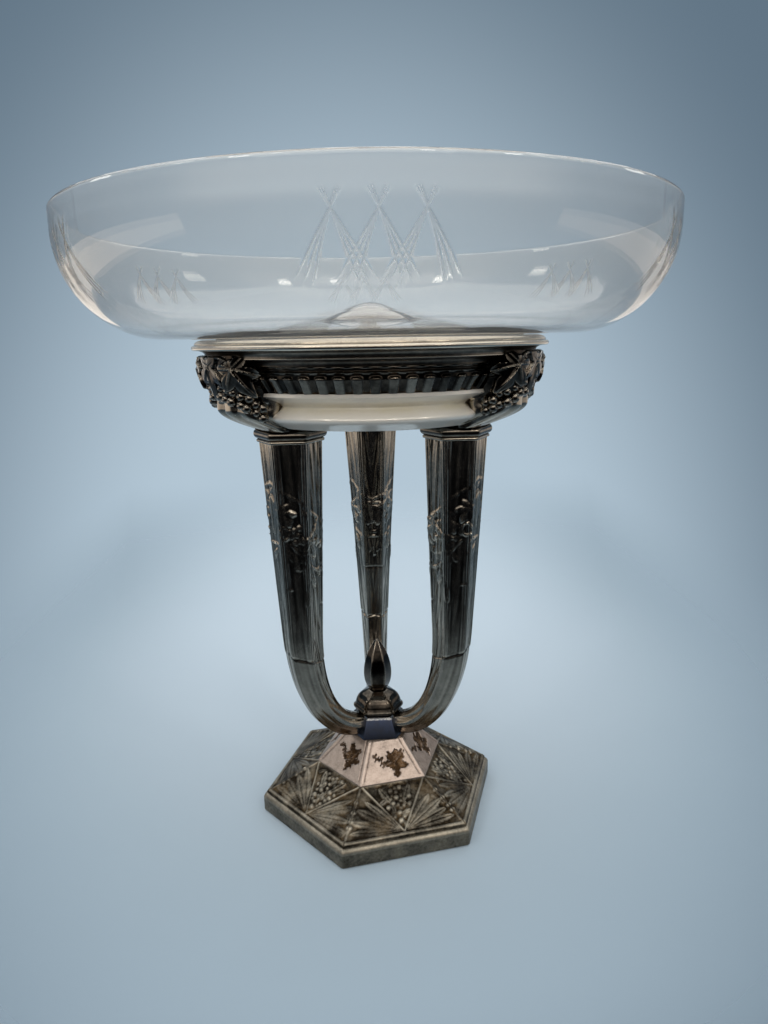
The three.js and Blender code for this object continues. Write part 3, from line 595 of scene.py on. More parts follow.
@dataclass(frozen=True)
class PlateFinish:
    """Electroplated silver on cast brass: bright where cloths rub it, sulphide-dark where they don't."""

    name: str
    slot: Slot
    bright: str
    tarnish: str
    stain: str
    rough_bright: float
    rough_tarnish: float
    rub_from: float
    rub_to: float
    stain_mm: float = 14
    stain_share: float = 0.6
    speckle_mm: float = 1.6
    speckle_rough: float = 0.06
    patch_from: float = 0.42
    patch_to: float = 0.66
    pit_mm: float = 0.9
    pit_depth_mm: float = 0.02
    unevenness: float = 0.35
    metal: float = 1.0

    @cache
    def material(self) -> Material:
        """Builds the metal.

        Returns:
            A material whose tarnish follows the wear value, broken up by stains and fine speckle.
        """
        made, tree = blank(self.name)
        place = add(tree, "TexCoord").outputs["Object"]
        wear = add(tree, "Attribute", attribute_name=WEAR_AND_PAINTED_SHADE).outputs["Fac"]
        stains = add(tree, "TexNoise", {
            "Vector": place, "Scale": per_metre(self.stain_mm), "Detail": 5.0,
            "Roughness": 0.62})
        speckle = add(tree, "TexNoise", {
            "Vector": place, "Scale": per_metre(self.speckle_mm), "Detail": 3.0})
        mixed = add(tree, "Math", {0: stains, 1: self.stain_share}, operation="MULTIPLY")
        mixed = add(tree, "Math", {0: speckle, 1: 1 - self.stain_share, 2: mixed},
                    operation="MULTIPLY_ADD")
        broken = add(tree, "Math", {0: mixed, 1: NOISE_MIDDLE}, operation="SUBTRACT")
        broken = add(tree, "Math", {0: broken, 1: 2 * self.unevenness, 2: wear}, operation="MULTIPLY_ADD")
        bare = add(tree, "MapRange", {
            "Value": broken, "From Min": self.rub_from, "From Max": self.rub_to},
            interpolation_type="SMOOTHSTEP")
        patch = add(tree, "MapRange", {
            "Value": stains, "From Min": self.patch_from, "From Max": self.patch_to},
            interpolation_type="SMOOTHSTEP")
        dark = add(tree, "Mix", {0: patch, 6: linear(self.tarnish), 7: linear(self.stain)},
                   data_type="RGBA").outputs[2]
        colour = add(tree, "Mix", {0: bare, 6: dark, 7: linear(self.bright)}, data_type="RGBA").outputs[2]
        rough = add(tree, "MapRange", {
            "Value": bare, "To Min": self.rough_tarnish, "To Max": self.rough_bright})
        rough = add(tree, "Math", {0: speckle, 1: self.speckle_rough, 2: rough}, operation="MULTIPLY_ADD")
        pits = add(tree, "TexNoise", {"Vector": place, "Scale": per_metre(self.pit_mm), "Detail": 4.0})
        skin = add(tree, "Bump", {"Height": pits, "Distance": self.pit_depth_mm * MM, "Strength": 1.0})
        shader = add(tree, "BsdfPrincipled", {
            "Base Color": colour, "Metallic": self.metal, "Roughness": rough, "Normal": skin})
        add(tree, "OutputMaterial", {"Surface": shader})
        return made


@dataclass(frozen=True)
class GlassFinish:
    """Blown soda-lime glass: clear, warm seen edge on, with wheel-cut strokes that stay frosted and pale."""

    name: str
    slot: Slot
    tint: str = "#ffffff"
    index: float = 1.52
    clear: float = 0.905
    edge_tinge: str = "#e6c890"
    edge_density: float = 24
    cut_from: float = 0.9
    cut_to: float = 0.5
    cut_rough: float = 0.45
    ripple_mm: float = 38
    ripple_depth_mm: float = 0.04

    @cache
    def material(self) -> Material:
        """Builds the glass, with the slow ripple of a blown wall and the bloom of long use."""
        made, tree = blank(self.name)
        place = add(tree, "TexCoord").outputs["Object"]
        ripple = add(tree, "TexNoise", {
            "Vector": place, "Scale": per_metre(self.ripple_mm), "Detail": 1.0})
        skin = add(tree, "Bump", {
            "Height": ripple, "Distance": self.ripple_depth_mm * MM, "Strength": 1.0})
        uncut = add(tree, "Attribute", attribute_name=WEAR_AND_PAINTED_SHADE).outputs["Fac"]
        frosted = add(tree, "MapRange", {
            "Value": uncut, "From Min": self.cut_from, "From Max": self.cut_to,
            "To Max": self.cut_rough})
        shader = add(tree, "BsdfPrincipled", {
            "Base Color": linear(self.tint), "Roughness": frosted, "IOR": self.index,
            "Transmission Weight": self.clear, "Normal": skin})
        depth = add(tree, "VolumeAbsorption", {
            "Color": linear(self.edge_tinge), "Density": self.edge_density})
        add(tree, "OutputMaterial", {"Surface": shader, "Volume": depth})
        return made


@dataclass(frozen=True)
class PlainFinish:
    """A hidden piece's finish: one colour broken up by grain of a real size."""

    name: str
    colour: str
    shade: str
    metal: float
    rough: float
    grain_mm: float
    grain_depth_mm: float

    def material(self) -> Material:
        """Builds the finish."""
        made, tree = blank(self.name)
        place = add(tree, "TexCoord").outputs["Object"]
        grain = add(tree, "TexNoise", {"Vector": place, "Scale": per_metre(self.grain_mm), "Detail": 4.0})
        colour = add(tree, "Mix", {0: grain, 6: linear(self.shade), 7: linear(self.colour)},
                     data_type="RGBA").outputs[2]
        skin = add(tree, "Bump", {"Height": grain, "Distance": self.grain_depth_mm * MM, "Strength": 1.0})
        shader = add(tree, "BsdfPrincipled", {
            "Base Color": colour, "Metallic": self.metal, "Roughness": self.rough, "Normal": skin})
        add(tree, "OutputMaterial", {"Surface": shader})
        return made


# Sulphide on the stand: black-brown in the hollows, a thin grey veil on the flats, warm on rubbed edges.
TARNISHED_PLATE = PlateFinish("tarnished_silver_plate", Slot.TARNISHED, bright="#dcd1c0", tarnish="#1d1b19",
                              stain="#423a32", rough_bright=0.28, rough_tarnish=0.06, rub_from=0.0,
                              rub_to=1.0, unevenness=0.26)
# The hub wears the same sulphide, thin enough there to show its blue interference tint.
BLUED_PLATE = PlateFinish("blue_tarnished_silver_plate", Slot.TARNISHED, bright="#c6c3bd", tarnish="#343b4c",
                          stain="#33363f", rough_bright=0.2, rough_tarnish=0.26, rub_from=0.35, rub_to=0.9)
# Brown-grey tarnish on the base, thinner than on the arms, so that the silver shows through it.
BASE_PLATE = PlateFinish("browned_silver_plate", Slot.BASE, bright="#a69e8f", tarnish="#1f1a14",
                         stain="#4b3d2a", rough_bright=0.36, rough_tarnish=0.5, rub_from=0.0, rub_to=1.0,
                         stain_mm=9, unevenness=0.5, pit_mm=1.3, pit_depth_mm=0.05)
# The cap's smooth facets are rubbed pinkish, its sunk ornament has kept its brown.
CAP_PLATE = PlateFinish("rubbed_silver_plate", Slot.BASE, bright="#b0a095", tarnish="#35271a",
                        stain="#5c452d", rough_bright=0.36, rough_tarnish=0.5, rub_from=0.1, rub_to=0.8,
                        stain_mm=5, speckle_mm=0.9, unevenness=0.45, pit_mm=1.1, pit_depth_mm=0.04)
# The ring is rubbed warm on its round top and bead, and has stayed brown in its hollows.
RING_PLATE = PlateFinish("turned_silver_plate", Slot.RUBBED, bright="#d6ccbc", tarnish="#2e2721",
                         stain="#54463a", rough_bright=0.16, rough_tarnish=0.3, rub_from=0.0, rub_to=1.0,
                         unevenness=0.2, pit_depth_mm=0.006)
# Spun silver under old lacquer: the milky lacquer scatters light. Its yellower tarnish colours show mostly at
# the hollow waist, where they are painted shade.
DISH_PLATE = PlateFinish("spun_lacquered_silver_plate", Slot.POLISHED, bright="#fffaf0", tarnish="#ece4c6",
                         stain="#efe8d0", rough_bright=0.16, rough_tarnish=0.22, rub_from=0.1, rub_to=0.75,
                         unevenness=0.2, pit_depth_mm=0.005, metal=0.15)
# Clear glass with a faint haze, honey-coloured where the eye looks along the wall.
CUT_GLASS = GlassFinish("blown_wheel_cut_glass", Slot.CRYSTAL)
# Turned mild steel for rod, studs, nuts and screws.
TURNED_STEEL = PlainFinish("turned_mild_steel", "#8f9092", "#6f7072", 1.0, 0.38, 0.8, 0.01)
# Rough grey iron, as it came out of the sand.
SAND_CAST_IRON = PlainFinish("sand_cast_iron", "#46423e", "#2c2926", 0.8, 0.75, 1.4, 0.12)
# Pressed wool felt with a short nap.
WOOL_FELT = PlainFinish("pressed_wool_felt", "#2f4a38", "#223629", 0.0, 0.95, 0.7, 0.15)


@dataclass
class GlassBowl:
    """The blown bowl: low, wide and flat-bottomed, with six wheel-cut sheaf motifs under its rim."""

    rim_radius: float = 155
    corner_radius: float = 47.8
    corner_inset: float = 3.8
    wall: float = 3
    floor: float = 2.4
    foot_radius: float = 81.4
    foot_width: float = 6
    foot_depth: float = 5
    foot_round: float = 1
    foot_blend: float = 1.2
    foot_fillet: Pair = (0.8, 0.6)
    under_inset: float = 12
    lip_drop: float = 6
    floor_rings: int = 10
    kick_radius: float = 34
    kick_height: float = 14
    motif_count: int = 6
    motif_span: float = 62
    motif_top: float = 6
    motif_bottom: float = 56
    sheaf_pitch: float = 16
    sheaf_drop: float = 18
    stroke_leans: tuple[float, ...] = (19, 26, 33)
    stroke_up: float = 11
    stroke_down: float = 30
    stroke_width: float = 1.3
    stroke_depth: float = 0.24
    fine_step: float = 0.42
    plain_columns: int = 12

    def azimuths(self) -> Array:
        """Column azimuths, close together where the motifs are cut."""
        half = math.degrees(self.motif_span / 2 / self.rim_radius)
        fine = np.linspace(-half, half, round(self.motif_span / self.fine_step), endpoint=False)
        plain = np.linspace(half, 360 / self.motif_count - half, self.plain_columns, endpoint=False)
        one = np.concatenate([fine, plain])
        return np.radians(np.concatenate([one + 360 / self.motif_count * i for i in range(self.motif_count)]))

    def kick(self, floor: float) -> Array:
        """The raised middle of the floor, from the axis outwards."""
        share = np.linspace(0, 1, 16)
        rise = self.kick_height * np.cos(math.pi / 2 * share) ** 2
        return np.stack([np.maximum(self.kick_radius * share, AXIS), floor + rise], axis=-1)

    def outer(self, seat: float, rim: float) -> tuple[Array, Array]:
        """The outer wall from rim to seat.

        Args:
            seat: height of the flat underside.
            rim: height of the rim.

        Returns:
            The [radius, height] pairs and how far each lies below the rim, measured along the wall.
        """
        straight = rim - seat - self.corner_radius
        bend = self.corner_radius * math.pi / 2
        fine = np.arange(self.motif_top, self.motif_bottom, self.fine_step)
        runs = np.concatenate([np.linspace(self.wall / 2, self.motif_top, 8, endpoint=False), fine,
                               np.linspace(self.motif_bottom, straight + bend, 18)])
        angle = np.clip(runs - straight, 0, None) / self.corner_radius
        middle = self.rim_radius - self.corner_radius
        radius = np.where(runs < straight, self.rim_radius, middle + self.corner_radius * np.cos(angle))
        height = np.where(runs < straight, rim - runs, seat + self.corner_radius * (1 - np.sin(angle)))
        return np.stack([radius, height], axis=-1), runs

    def cuts(self, runs: Array, azimuths: Array) -> Array:
        """The wheel-cut strokes on the outer wall: three crossing sheaves in each motif.

        Args:
            runs: how far each row lies below the rim.
            azimuths: of the columns.

        Returns:
            Depth of the cut at each point.
        """
        pitch = 2 * math.pi / self.motif_count
        across = ((azimuths + pitch / 2) % pitch - pitch / 2)[None, :] * self.rim_radius
        below = runs[:, None]
        depth = np.zeros((len(runs), len(azimuths)))
        for sheaf in (-1, 0, 1):
            for lean in self.stroke_leans:
                for way in (-1, 1):
                    angle = math.radians(way * lean)
                    x, y = across - sheaf * self.sheaf_pitch, below - self.sheaf_drop
                    run = y * math.cos(angle) + x * math.sin(angle)
                    side = x * math.cos(angle) - y * math.sin(angle)
                    share = np.clip((run + self.stroke_up) / (self.stroke_up + self.stroke_down), 0, 1)
                    half = np.maximum(self.stroke_width / 2 * np.sin(math.pi * share) ** 0.6, 1e-6)
                    depth = np.maximum(depth, self.stroke_depth * np.clip(half - np.abs(side), 0, None)
                                       / (self.stroke_width / 2))
        return depth

    def build(self) -> None:
        """Blows the bowl, cuts it and sets it in place of its solid."""
        low, rim = span("glass_bowl")
        seat = low + self.foot_depth
        azimuths = self.azimuths()
        wall, runs = self.outer(seat, rim)
        cuts = self.cuts(runs, azimuths)
        outside = raised(revolved(wall, azimuths), -cuts)
        inner, bottom, half = self.rim_radius - self.wall, seat + self.floor, self.wall / 2
        bend = self.corner_radius - self.corner_inset
        flat = np.linspace(self.kick_radius, inner - bend, self.floor_rings + 2)[1:-1]
        inside = np.vstack([
            self.kick(bottom),
            np.stack([flat, np.full(self.floor_rings, bottom)], axis=-1),
            arc((inner - bend, bottom + bend), bend, -90, 0, 36),
            [[inner, rim - self.lip_drop]],
            arc((self.rim_radius - half, rim - half), half, 180, 0, 12)[:-1],
        ])
        foot, edge = self.foot_radius - self.foot_width, seat - self.foot_depth + self.foot_round
        under = np.vstack([
            [[self.rim_radius - self.corner_radius - self.under_inset, seat],
             [self.foot_radius + self.foot_blend, seat]],
            arc((self.foot_radius - self.foot_round, edge), self.foot_round, 0, -90, 4),
            arc((foot + self.foot_round, edge), self.foot_round, -90, -180, 4),
            [[foot, seat - self.foot_fillet[1]], [foot - self.foot_fillet[0], seat]],
            self.kick(seat)[::-1],
        ])
        rows = np.concatenate([revolved(inside, azimuths), outside, revolved(under, azimuths)])
        uncut = np.ones(rows.shape[:2])
        uncut[len(inside):len(inside) + len(wall)] -= cuts / self.stroke_depth
        Casting().grid(rows, uncut).piece(
            "bowl_of_cut_glass", "glass_bowl", CUT_GLASS, sharp=14, body=Body.BOWL)


@dataclass
class BowlRing:
    """The moulded ring that carries the bowl: round top, bright bead, and two dark hollows under it."""

    radius: float = 95.6
    foot_radius: float = 82
    fillet_radius: float = 88.9
    fillet_rise: float = 3.2
    fillet_height: float = 0.8
    fillet_edge: float = 0.2
    bead_rise: float = 8.4
    bead_radius: float = 1.25
    bead_neck: float = 0.3
    seat_radius: float = 88.5
    seat_bevel: float = 0.4
    bore_radius: float = 82.2
    pocket_depth: float = 6.2
    flange_bore: float = 74
    sides: int = 240

    def build(self) -> None:
        """Turns the ring and sets it in place of its solid."""
        foot, top = span("bowl_ring")
        fillet, bead, edge = foot + self.fillet_rise, foot + self.bead_rise, self.fillet_edge
        brow, pocket = fillet + self.fillet_height, top - self.pocket_depth
        middle = self.radius - self.bead_radius
        neck = middle - self.bead_neck
        profile, wear = joined([
            ([[self.flange_bore, foot], [self.foot_radius - edge, foot]], 0.15),
            (quarter((self.foot_radius, foot), (self.fillet_radius - edge, fillet), 10), 0.2),
            ([[self.fillet_radius, fillet + edge], [self.fillet_radius, brow - edge]], 0.6),
            (quarter((self.fillet_radius - edge, brow), (neck, bead - self.bead_radius), 10), 0.3),
            (arc((middle, bead), self.bead_radius, -90, 90, 12), 0.95),
            (quarter((neck, bead + self.bead_radius), (self.seat_radius, top), 12), 0.7),
            ([[self.bore_radius + self.seat_bevel, top], [self.bore_radius, top - self.seat_bevel]], 0.95),
            ([[self.bore_radius, pocket], [self.flange_bore, pocket]], 0.95),
        ])
        rows = revolved(profile, circle(self.sides))
        Casting().grid(rows, wear, wrap_rows=True).piece(
            "moulded_bowl_ring", "bowl_ring", RING_PLATE, sharp=28)


@dataclass
class FlutedFrieze:
    """The drum under the ring, cast with upright tongues and two faintly scalloped lines over them."""

    foot_radius: float = 76.5
    top_radius: float = 81.3
    bore_radius: float = 70.5
    tongues: int = 60
    tongue_share: float = 0.66
    tongue_top: float = 8.2
    tongue_round: float = 1.7
    tongue_swell: float = 0.25
    tongue_rubbing: Pair = (0.3, 1.6)
    cone_rise: float = 6.7
    groove_depth: float = 1.15
    lines: tuple[Pair, ...] = ((9.7, 0.06), (11.9, 0.05))
    line_width: float = 0.55
    line_share: float = 0.75
    ground_wear: float = 0.06
    proud_wear: float = 0.22
    bore_wear: float = 0.2
    rows: int = 48
    columns_each: int = 16
    seed: int = 3

    def build(self) -> None:
        """Casts the drum and sets it in place of its solid."""
        foot, top = span("fluted_frieze")
        tall = top - foot
        rises = np.linspace(0, tall, self.rows)
        azimuths = np.linspace(0, 2 * math.pi, self.tongues * self.columns_each, endpoint=False)
        radius = np.interp(rises, [0, self.cone_rise, tall],
                           [self.foot_radius, self.top_radius, self.top_radius])
        pitch = 2 * math.pi / self.tongues
        aside = ((azimuths + pitch / 2) % pitch - pitch / 2)[None, :] * self.top_radius
        half = self.tongue_share * pitch * self.top_radius / 2
        beside = np.abs(aside) - half + self.tongue_round
        over = rises[:, None] - self.tongue_top + self.tongue_round
        inside = self.tongue_round - np.hypot(np.maximum(beside, 0), np.maximum(over, 0))
        inside = inside - np.minimum(np.maximum(beside, over), 0)
        height = self.groove_depth * (smooth(-0.1, 0.9, inside) - 1)
        height = height + self.tongue_swell * np.clip(inside / half, 0, 1)
        each = np.floor((azimuths + pitch / 2) / pitch).astype(int) % self.tongues
        rubbing = np.random.default_rng(self.seed).uniform(*self.tongue_rubbing, self.tongues)[each]
        wear = self.ground_wear + self.proud_wear * rubbing[None, :] * smooth(0.1, 0.9, inside)
        for level, sag in self.lines:
            arch = level + sag * np.cos(2 * math.pi * aside / (pitch * self.top_radius))
            line = np.exp(-((rises[:, None] - arch) / self.line_width) ** 2)
            height = height + self.line_share * self.groove_depth * line
            wear = np.maximum(wear, self.ground_wear + self.proud_wear * line)
        height = height * smooth(0, 0.5, tall - rises)[:, None]
        outside = polar(radius[:, None] + height, azimuths[None, :], (foot + rises)[:, None])
        bore = revolved(np.array([[self.bore_radius, top], [self.bore_radius, foot]]), azimuths)
        wear = np.concatenate([wear, np.full(bore.shape[:2], self.bore_wear)])
        Casting().grid(np.concatenate([outside, bore]), wear, wrap_rows=True).piece(
            "tongued_frieze", "fluted_frieze", TARNISHED_PLATE, sharp=40)


@dataclass
class HolderDish:
    """The polished dish between the capitals: a round belly, a hollow waist and a flange."""

    foot_radius: float = 62
    belly_radius: float = 71.5
    belly_rise: float = 5.8
    waist_radius: float = 66.5
    waist_rise: float = 11.9
    flange_radius: float = 76.5
    flange_height: float = 1.8
    flange_edge: float = 0.3
    foot_edge: float = 1.5
    floor_cut: int = 6
    polish: float = 0.85
    waist_painted_shade: float = 0.45
    waist_spread: float = 3
    waist_shift: float = 1
    wall: float = 1.8
    sides: int = 200

    def outline(self, foot: float, top: float) -> Array:
        """Outside of the dish as [radius, height] pairs, from its foot to its flange."""
        knots = np.array([
            [self.foot_radius, foot],
            [self.belly_radius, foot + self.belly_rise],
            [self.waist_radius, foot + self.waist_rise],
            [self.flange_radius, top - self.flange_height],
        ])
        return spline(knots, 12)

    def build(self) -> None:
        """Spins the dish and sets it in place of its solid."""
        foot, top = span("holder_dish")
        outside = self.outline(foot, top)
        # The inner line leaves the belly early, because the floor closes it.
        inside = (outside - np.array([self.wall, 0]))[::-1][1:-self.floor_cut]
        brim, edge = self.flange_radius, self.flange_edge
        profile = np.vstack([
            [[AXIS, foot], [self.foot_radius - self.foot_edge, foot]],
            outside,
            [[brim, top - edge], [brim - edge, top], [brim - self.wall, top]],
            inside,
            [[self.foot_radius - self.wall, foot + self.wall], [AXIS, foot + self.wall]],
        ])
        # Painted shade: the wear dips round the hollow waist, so the dish is coloured darker and yellower
        # there.
        above = profile[:, 1] - foot - self.waist_rise + self.waist_shift
        waist = np.exp(-(above / self.waist_spread) ** 2)
        wear = self.polish - self.waist_painted_shade * waist
        Casting().grid(revolved(profile, circle(self.sides)), wear[:, None]).piece(
            "polished_holder_dish", "holder_dish", DISH_PLATE, sharp=40)


@dataclass
class Capital:
    """A capital: a fluted calyx that leans out of the collar, under vine leaves and two strings of grapes."""

    CALYX_ROWS = 34
    CALYX_POINTS = 150
    LIP_RISES = (0.4, 0.5, 0.1)
    LIP_INSETS = (0.6, 2.2)
    PAD_POINTS = 60
    WALL_POINTS = 8
    BACK_POINTS = 10
    LEAF_ROWS = 56
    LEAF_POINTS = 190
    SIDE_LEAVES = ((21, 0.74, 22, 0.66, 1.5), (39, 0.7, -14, 0.6, 0.75))
    STEM = ((2, 0.9), (11, 0.97), (20, 0.86), (30, 0.95), (40, 0.84))
    GRAPE_PATH = ((88.6, 5.5, 4.6), (87.4, 12.0, 3.4), (84.0, 18.0, 1.2), (79.5, 21.2, -1.6),
                  (74.8, 21.8, -5.0))

    side: Side
    arm_radius: float = 50.7
    foot_half_width: float = 17
    nose_half_width: float = 20.3
    nose_radius: float = 87.5
    calyx_height: float = 16
    flare_height: float = 12
    squareness: float = 0.72
    flutes: int = 10
    flute_depth: float = 1.5
    leaf_radius: float = 94.5
    leaf_foot_radius: float = 89.5
    leaf_half_width: float = 27.2
    leaf_foot_half_width: float = 21.5
    leaf_rise: float = 2.5
    leaf_start: float = 78
    leaf_tuck: float = 2.2
    leaf_tuck_share: float = 0.07
    leaf_side_share: float = 0.7
    leaf_wear: float = 0.07
    proud_wear: float = 0.08
    rub_gain: float = 0.25
    bedded: float = 0.7
    overlap: float = 0.4
    shoulder: float = 1.1
    grape_radius: float = 2.5
    grape_scatter: float = 0.45
    grape_lean: float = 1.6
    grape_pitch: float = 4.6
    calyx_wear: float = 0.55
    flute_dulling: float = 0.2
    pad_wear: float = 0.2
    grape_wear: float = 0.33
    seed: int = 7

    def loop(self, inner: float, start: float, far: float, half_width: float,
             count: int) -> tuple[Array, Array]:
        """One level outline of the capital, flat: x outwards, y aside.

        Args:
            inner: radius of the drum that it is bedded on.
            start: distance outwards where its rounded nose begins.
            far: distance outwards of the nose.
            half_width: half of its width.
            count: points round the nose.

        Returns:
            The closed outline, and how far each point lies from the nose along it.
        """
        angle = np.linspace(-math.pi / 2, math.pi / 2, count)
        along = np.abs(np.cos(angle)) ** self.squareness
        across = np.sign(angle) * np.abs(np.sin(angle)) ** self.squareness
        nose = np.stack([start + (far - start) * along, half_width * across], axis=-1)
        bed = math.sqrt(max(inner ** 2 - half_width ** 2, 1))
        wall = np.linspace(bed, start, self.WALL_POINTS, endpoint=False)
        left = np.stack([wall, np.full(self.WALL_POINTS, -half_width)], axis=-1)
        right = np.stack([wall[::-1], np.full(self.WALL_POINTS, half_width)], axis=-1)
        reach = math.asin(min(half_width / inner, 1))
        turn = np.linspace(reach, -reach, self.BACK_POINTS + 2)[1:-1]
        back = inner * np.stack([np.cos(turn), np.sin(turn)], axis=-1)
        outline = np.vstack([left, nose, right, back])
        steps = np.linalg.norm(np.diff(outline, axis=0, prepend=outline[:1]), axis=1)
        run = np.cumsum(steps)
        return outline, run - run[self.WALL_POINTS + count // 2]

    def rows(self, heights: Array, inners: Array, starts: Array, fars: Array, halves: Array,
             count: int) -> tuple[Array, Array]:
        """Stacks level outlines into rows of points.

        Args:
            heights: height of each row.
            inners: bedding radius of each row.
            starts: where each row's nose begins.
            fars: nose distance of each row.
            halves: half width of each row.
            count: points round each nose.

        Returns:
            The points along azimuth 0 and their distances from the nose.
        """
        points, runs = [], []
        for height, inner, start, far, half in zip(heights, inners, starts, fars, halves):
            outline, run = self.loop(inner, start, far, half, count)
            points.append(np.column_stack([outline[:, 1], -outline[:, 0], np.full(len(outline), height)]))
            runs.append(run)
        return np.array(points), np.array(runs)

    def calyx(self, casting: Casting, foot: float, dish: Array) -> None:
        """Adds the fluted calyx.

        Args:
            casting: the mesh under way.
            foot: height of the capital's underside.
            dish: outside of the dish that it is bedded on.
        """
        heights = foot + np.concatenate([np.linspace(0, self.calyx_height, self.CALYX_ROWS),
                                         self.calyx_height + np.array(self.LIP_RISES)])
        flare = np.sin(math.pi / 2 * np.clip((heights - foot) / self.flare_height, 0, 1))
        fars = self.arm_radius + self.foot_half_width + flare * (
            self.nose_radius - self.arm_radius - self.foot_half_width)
        halves = self.foot_half_width + flare * (self.nose_half_width - self.foot_half_width)
        for sizes in (fars, halves):
            sizes[-2:] -= np.array(self.LIP_INSETS)
        inners = np.interp(heights, dish[:, 1], dish[:, 0]) - self.bedded
        beds = np.sqrt(np.maximum(inners ** 2 - halves ** 2, 1))
        starts = np.maximum((self.arm_radius - self.foot_half_width + fars) / 2, beds + 1)
        points, runs = self.rows(heights, inners, starts, fars, halves, self.CALYX_POINTS)
        flute = 2.0 * halves[:, None] * math.pi / self.flutes
        part = 0.5 + 0.5 * np.cos(2 * math.pi * runs / flute)
        sunk = self.flute_depth * part ** 1.4 * smooth(0, 3, heights - foot)[:, None]
        ends = smooth(self.calyx_height - 1.6, self.calyx_height - 0.6, heights - foot)
        sunk = sunk * (1 - ends)[:, None]
        casting.grid(raised(points, -sunk), self.calyx_wear - self.flute_dulling * part, capped=True)
        pad = np.linspace(0, 2 * math.pi, self.PAD_POINTS, endpoint=False)
        x, y = (self.foot_half_width * np.sign(wave) * np.abs(wave) ** self.squareness
                for wave in (np.cos(pad), np.sin(pad)))
        plate = np.array([np.column_stack([y, -self.arm_radius - x, np.full(self.PAD_POINTS, height)])
                          for height in (foot, foot + self.shoulder)])
        casting.grid(plate, self.pad_wear, capped=True)

    def foliage(self, casting: Casting, foot: float, top: float, drum: float) -> None:
        """Adds the mass of vine leaves.

        Args:
            casting: the mesh under way.
            foot: height of its underside.
            top: height of its top.
            drum: radius that it is bedded on.
        """
        count, high, rise = self.LEAF_ROWS, top - foot, self.leaf_rise
        heights = np.linspace(foot, top, count)
        share = np.linspace(0, 1, count)
        swell = np.sin(math.pi / 2 * share)
        fars = self.leaf_foot_radius + swell * (self.leaf_radius - self.leaf_foot_radius) - rise
        halves = self.leaf_foot_half_width + swell * (self.leaf_half_width - self.leaf_foot_half_width)
        halves = halves - rise * self.leaf_side_share
        fars = fars - self.leaf_tuck * np.exp(-(share / self.leaf_tuck_share) ** 2)
        points, runs = self.rows(heights, np.full(count, drum), np.full(count, self.leaf_start), fars, halves,
                                 self.LEAF_POINTS)
        relief = Relief(runs, (heights - foot)[:, None])
        relief.vine_leaf((0, 0.78 * high), -90, 0.74 * high, rise)
        for way in WAYS:
            for aside, up, lean, length, proud in self.SIDE_LEAVES:
                relief.vine_leaf((way * aside, up * high), -90 + way * lean, length * high, proud * rise)
            relief.curve([(way * aside, up * high) for aside, up in self.STEM], 1.7, 1.5)
            relief.berries([(way * (9.5 + 3 * (i % 2)), high * (0.2 + 0.1 * i)) for i in range(4)], 1.7)
        draw = np.random.default_rng(self.seed)
        relief.tangle(draw, 36, lambda s, t: (90 * s - 45, high * t), 7, 0.6 * rise)
        ground = self.leaf_wear + self.proud_wear * smooth(0.3 * rise, rise, relief.height)
        wear = rubbed(relief.height, ground, self.rub_gain)
        fade = smooth(0, 0.05, share) * (1 - smooth(0.97, 1.0, share))
        casting.grid(raised(points, relief.height * fade[:, None]), wear, capped=True)

    def grapes(self, casting: Casting, foot: float) -> None:
        """Adds the two strings of grapes, from under the leaves down to the dish.

        Args:
            casting: the mesh under way.
            foot: height of the joint between calyx and leaves.
        """
        draw = np.random.default_rng(self.seed)
        centres, radii = [], []
        path = spline(np.array(self.GRAPE_PATH), 3)[::2]
        for way in WAYS:
            for outwards, aside, rise in path:
                for row in (-0.5, 0.5):
                    shift = draw.normal(0, self.grape_scatter, 3)
                    centres.append([way * (aside + shift[0] + self.grape_lean * row), -(outwards + shift[1]),
                                    foot + rise + shift[2] + self.grape_pitch * row])
                    radii.append(self.grape_radius * draw.uniform(0.86, 1.1))
        casting.balls(np.array(centres), np.array(radii), self.grape_wear)

    def build(self, dish: HolderDish, frieze: FlutedFrieze) -> None:
        """Casts the capital and sets it in place of its solid.

        Args:
            dish: what its calyx is bedded on.
            frieze: what its leaves are bedded on.
        """
        node = f"capital_{self.side.word}"
        foot, top = span(node)
        casting = Casting()
        joint = foot + self.calyx_height
        self.calyx(casting, foot, dish.outline(*span("holder_dish")))
        self.foliage(casting, joint - self.overlap, top, (frieze.foot_radius + frieze.bore_radius) / 2)
        self.grapes(casting, joint)
        casting.turn(self.side.value).piece(f"vine_capital_{self.side.word}", node, TARNISHED_PLATE, sharp=50)


